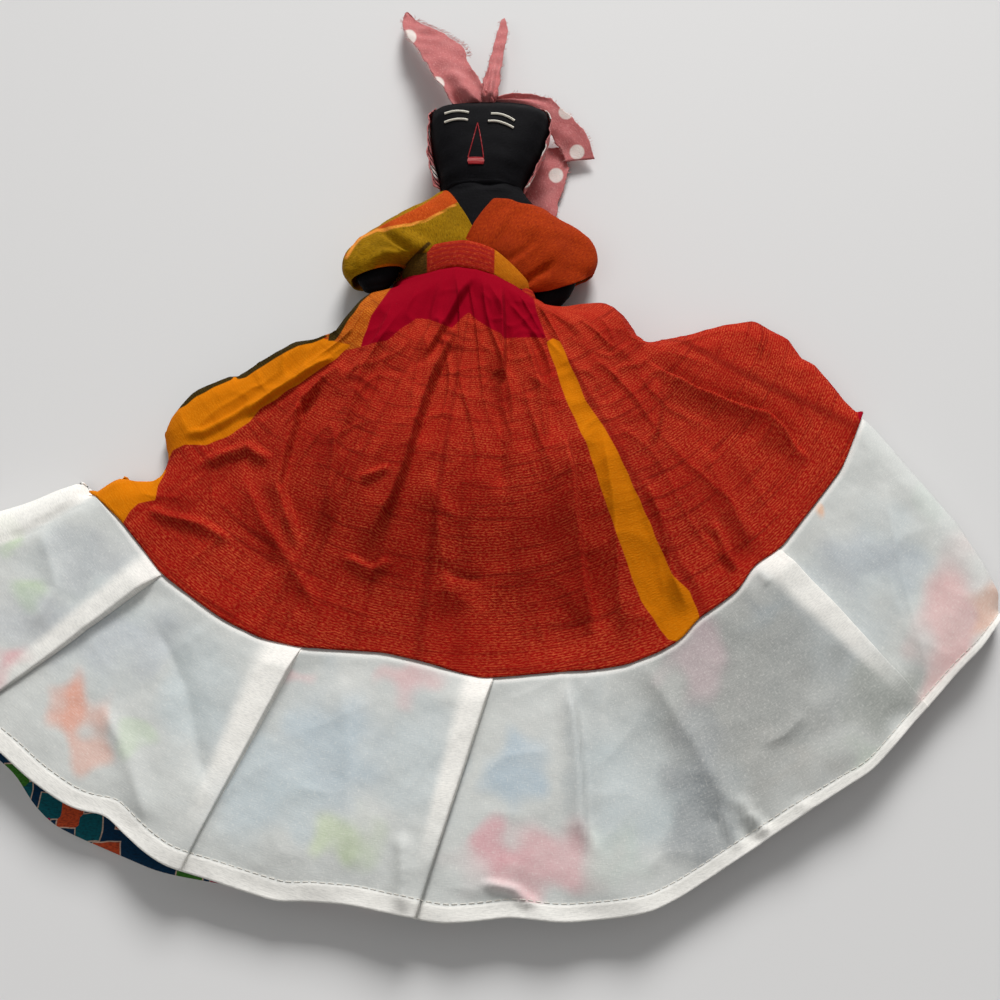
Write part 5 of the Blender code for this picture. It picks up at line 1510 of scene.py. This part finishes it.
def threadFinish(name, colour, shine):
    # stranded cotton thread: softly shiny, with the fine slanting twist of its strands
    made, tree, shader = startFinish(name, 0.45, specular=shine)
    place = addNode(tree, "ShaderNodeTexCoord")
    twist = addNode(tree, "ShaderNodeTexWave", {"Scale": 900.0, "Distortion": 1.2, "Detail": 1.0},
                    {"Vector": place.outputs["Object"]}).outputs["Fac"]
    finishCloth(tree, shader, mixColour(tree, 0.35, colour, twist, "MULTIPLY"), [twist], 0.4, 0.0001)
    return made


threads = {key: threadFinish(f"stranded cotton thread, {key}", threadChoice[key], 0.35 if key != "black" else 0.1)
           for key in threadChoice}


def makeThread(name, lines, thick, thread, body):
    curve = bpy.data.curves.new(name, "CURVE")
    curve.dimensions, curve.bevel_depth, curve.bevel_resolution = "3D", thick / 2, 2
    curve.use_fill_caps = True
    for line in lines:
        spline = curve.splines.new("POLY")
        spline.points.add(len(line) - 1)
        spline.points.foreach_set("co", np.concatenate([np.asarray(line), np.ones((len(line), 1))], axis=1).ravel())
    curve.materials.append(threads[thread])
    made = addObject(name, curve)
    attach(made, body)


def surfaceOf(piece):
    mesh = piece.data
    return BVHTree.FromPolygons([v.co for v in mesh.vertices], [list(p.vertices) for p in mesh.polygons])


def ontoSurface(tree, line, lift):  # places of the frame, put on the piece that shows there
    eye = Vector(viewChoice["cameraPlace"])
    places = []
    for p, q in line:
        aim = Vector(fromFrame(p, q, 0.0).tolist()) - eye
        hit, normal = tree.ray_cast(eye, aim.normalized())[:2]
        if hit is not None:
            places.append(np.array(hit + normal * lift))
    return np.array(places)


faceLines = {
    "eyes": [[(445, 114), (451, 112), (458, 111.2), (464, 111.6), (469, 112.8)],
             [(445, 122.6), (451, 120.3), (458, 119.2), (464, 119.4), (468, 120.4)],
             [(491, 114), (498, 114), (504, 115.4), (510, 118), (514.5, 121)],
             [(488, 121.3), (495, 121), (501, 122.3), (508, 125), (513.5, 128)]],
    "nose": [[(477.6, 123), (474.6, 134), (471.2, 146), (468, 157.6)],
             [(477.6, 123), (480, 134), (482, 146), (483.6, 157.6)]],
}


def ontoHidden(tree, places, lift):  # the front face's places, put on the other head
    made = []
    for x, y, _ in places:
        start = Vector((-(x - 0.0015), -0.0112 - (y - 0.0575), 0.1))
        hit, normal = tree.ray_cast(start, Vector((0, 0, -1)))[:2]
        if hit is not None:
            made.append(np.array(hit + normal * lift))
    return np.array(made)


def makeFaces():
    onHead, onHidden = surfaceOf(frontHead), surfaceOf(hiddenHead)
    eyes = [rounded(line, 18, 2) for line in faceLines["eyes"]]
    nose = [rounded(line, 18, 1) for line in faceLines["nose"]]
    strands = [rounded([(467.6 + 0.4 * abs(i - 2), 158.0 + i * 1.35), (475.8, 157.8 + i * 1.40),
                        (484.2 - 0.4 * abs(i - 2), 158.1 + i * 1.35)], 12, 1) for i in range(5)]
    # painted highlight: strands 1 and 2 of the red satin stitch are a paler rose where the mouth catches the light
    for key, lines, thick, thread in (("eyes", eyes, 0.00082, "ivory"), ("nose", nose, 0.00040, "red"),
                                      ("mouthEdges", [strands[0], strands[4]], 0.00056, "scarlet"),
                                      ("mouthHighlightStrands", strands[1:3], 0.00060, "rose"),
                                      ("mouthLow", strands[3:4], 0.00060, "scarlet")):
        places = [ontoSurface(onHead, line, thick * 0.25) for line in lines]
        makeThread(f"faceThread_{key}", places, thick, thread, "head_a")
        makeThread(f"hiddenFaceThread_{key}", [ontoHidden(onHidden, p, thick * 0.25) for p in places], thick, thread,
                   "head_b")


def makeWhipStitches(name, strip, body):  # they hold the kerchief's edges to the head
    stitches = []
    for outer, inner in ((0, 5), (-1, -6)):
        for row in range(8, strip.shape[0] - 3, 6):
            stitches.append(alongLine([strip[row, outer], strip[row - 2, (outer + inner) // 2], strip[row - 5, inner]],
                                      np.linspace(0, 1, 5)) + np.array([0, 0, 0.0004]))
    makeThread(f"kerchiefStitches_{name}", stitches, stitchChoice["whipThick"], "black", body)


def makeHemStitches():
    line = rounded(hemStitchLine, 1500, 2) + np.array([0, 0, 0.00010])
    stitches = [line[i:i + 7] for i in range(6, len(line) - 12, 9)]
    makeThread("hemStitches", stitches, stitchChoice["hemThick"], "white", "body")


def frayEdges(name, grid, body, count, seed, fringed):  # a fringed piece has longer threads at one edge
    dice = np.random.default_rng(seed)
    hairs = []
    for _ in range(count):
        row = dice.integers(1, grid.shape[0] - 1)
        edge, way = (0, 1) if dice.random() < 0.5 else (-1, -2)
        fringe = fringed and edge == -1
        if fringe:
            row = int(grid.shape[0] * dice.uniform(0.45, 0.92))
        start = grid[row, edge]
        out = start - grid[row, way]
        out /= np.linalg.norm(out) + 1e-9
        along = grid[min(row + 1, grid.shape[0] - 1), edge] - grid[row - 1, edge]
        along /= np.linalg.norm(along) + 1e-9
        reach = dice.uniform(0.3, 1.0) * stitchChoice["fringeLength" if fringe else "frayLength"]
        bend = dice.uniform(-0.9, 0.9)
        lift = dice.uniform(-0.1, 0.5)
        hair = np.array([start - out * 0.0004,
                         start + out * reach * 0.5 + along * bend * reach * 0.25,
                         start + out * reach + along * bend * reach * 0.8 + np.array([0, 0, lift * reach * 0.4])])
        hair[:, 2] = np.maximum(hair[:, 2], stitchChoice["lowest"])
        hairs.append(hair)
    makeThread(name, hairs, stitchChoice["frayThick"], "pink", body)


makeFaces()
for name, body in (("front", "head_a"), ("hidden", "head_b")):
    makeWhipStitches(name, kerchiefStrips[name], body)
makeHemStitches()
for index, (name, grid, body) in enumerate(ribbonEdges):  # the first ribbon is the wide end
    frayEdges(f"fray_{name}", grid, body, 360 if index == 0 else 110, 200 + index, index == 0)
print("threads made")
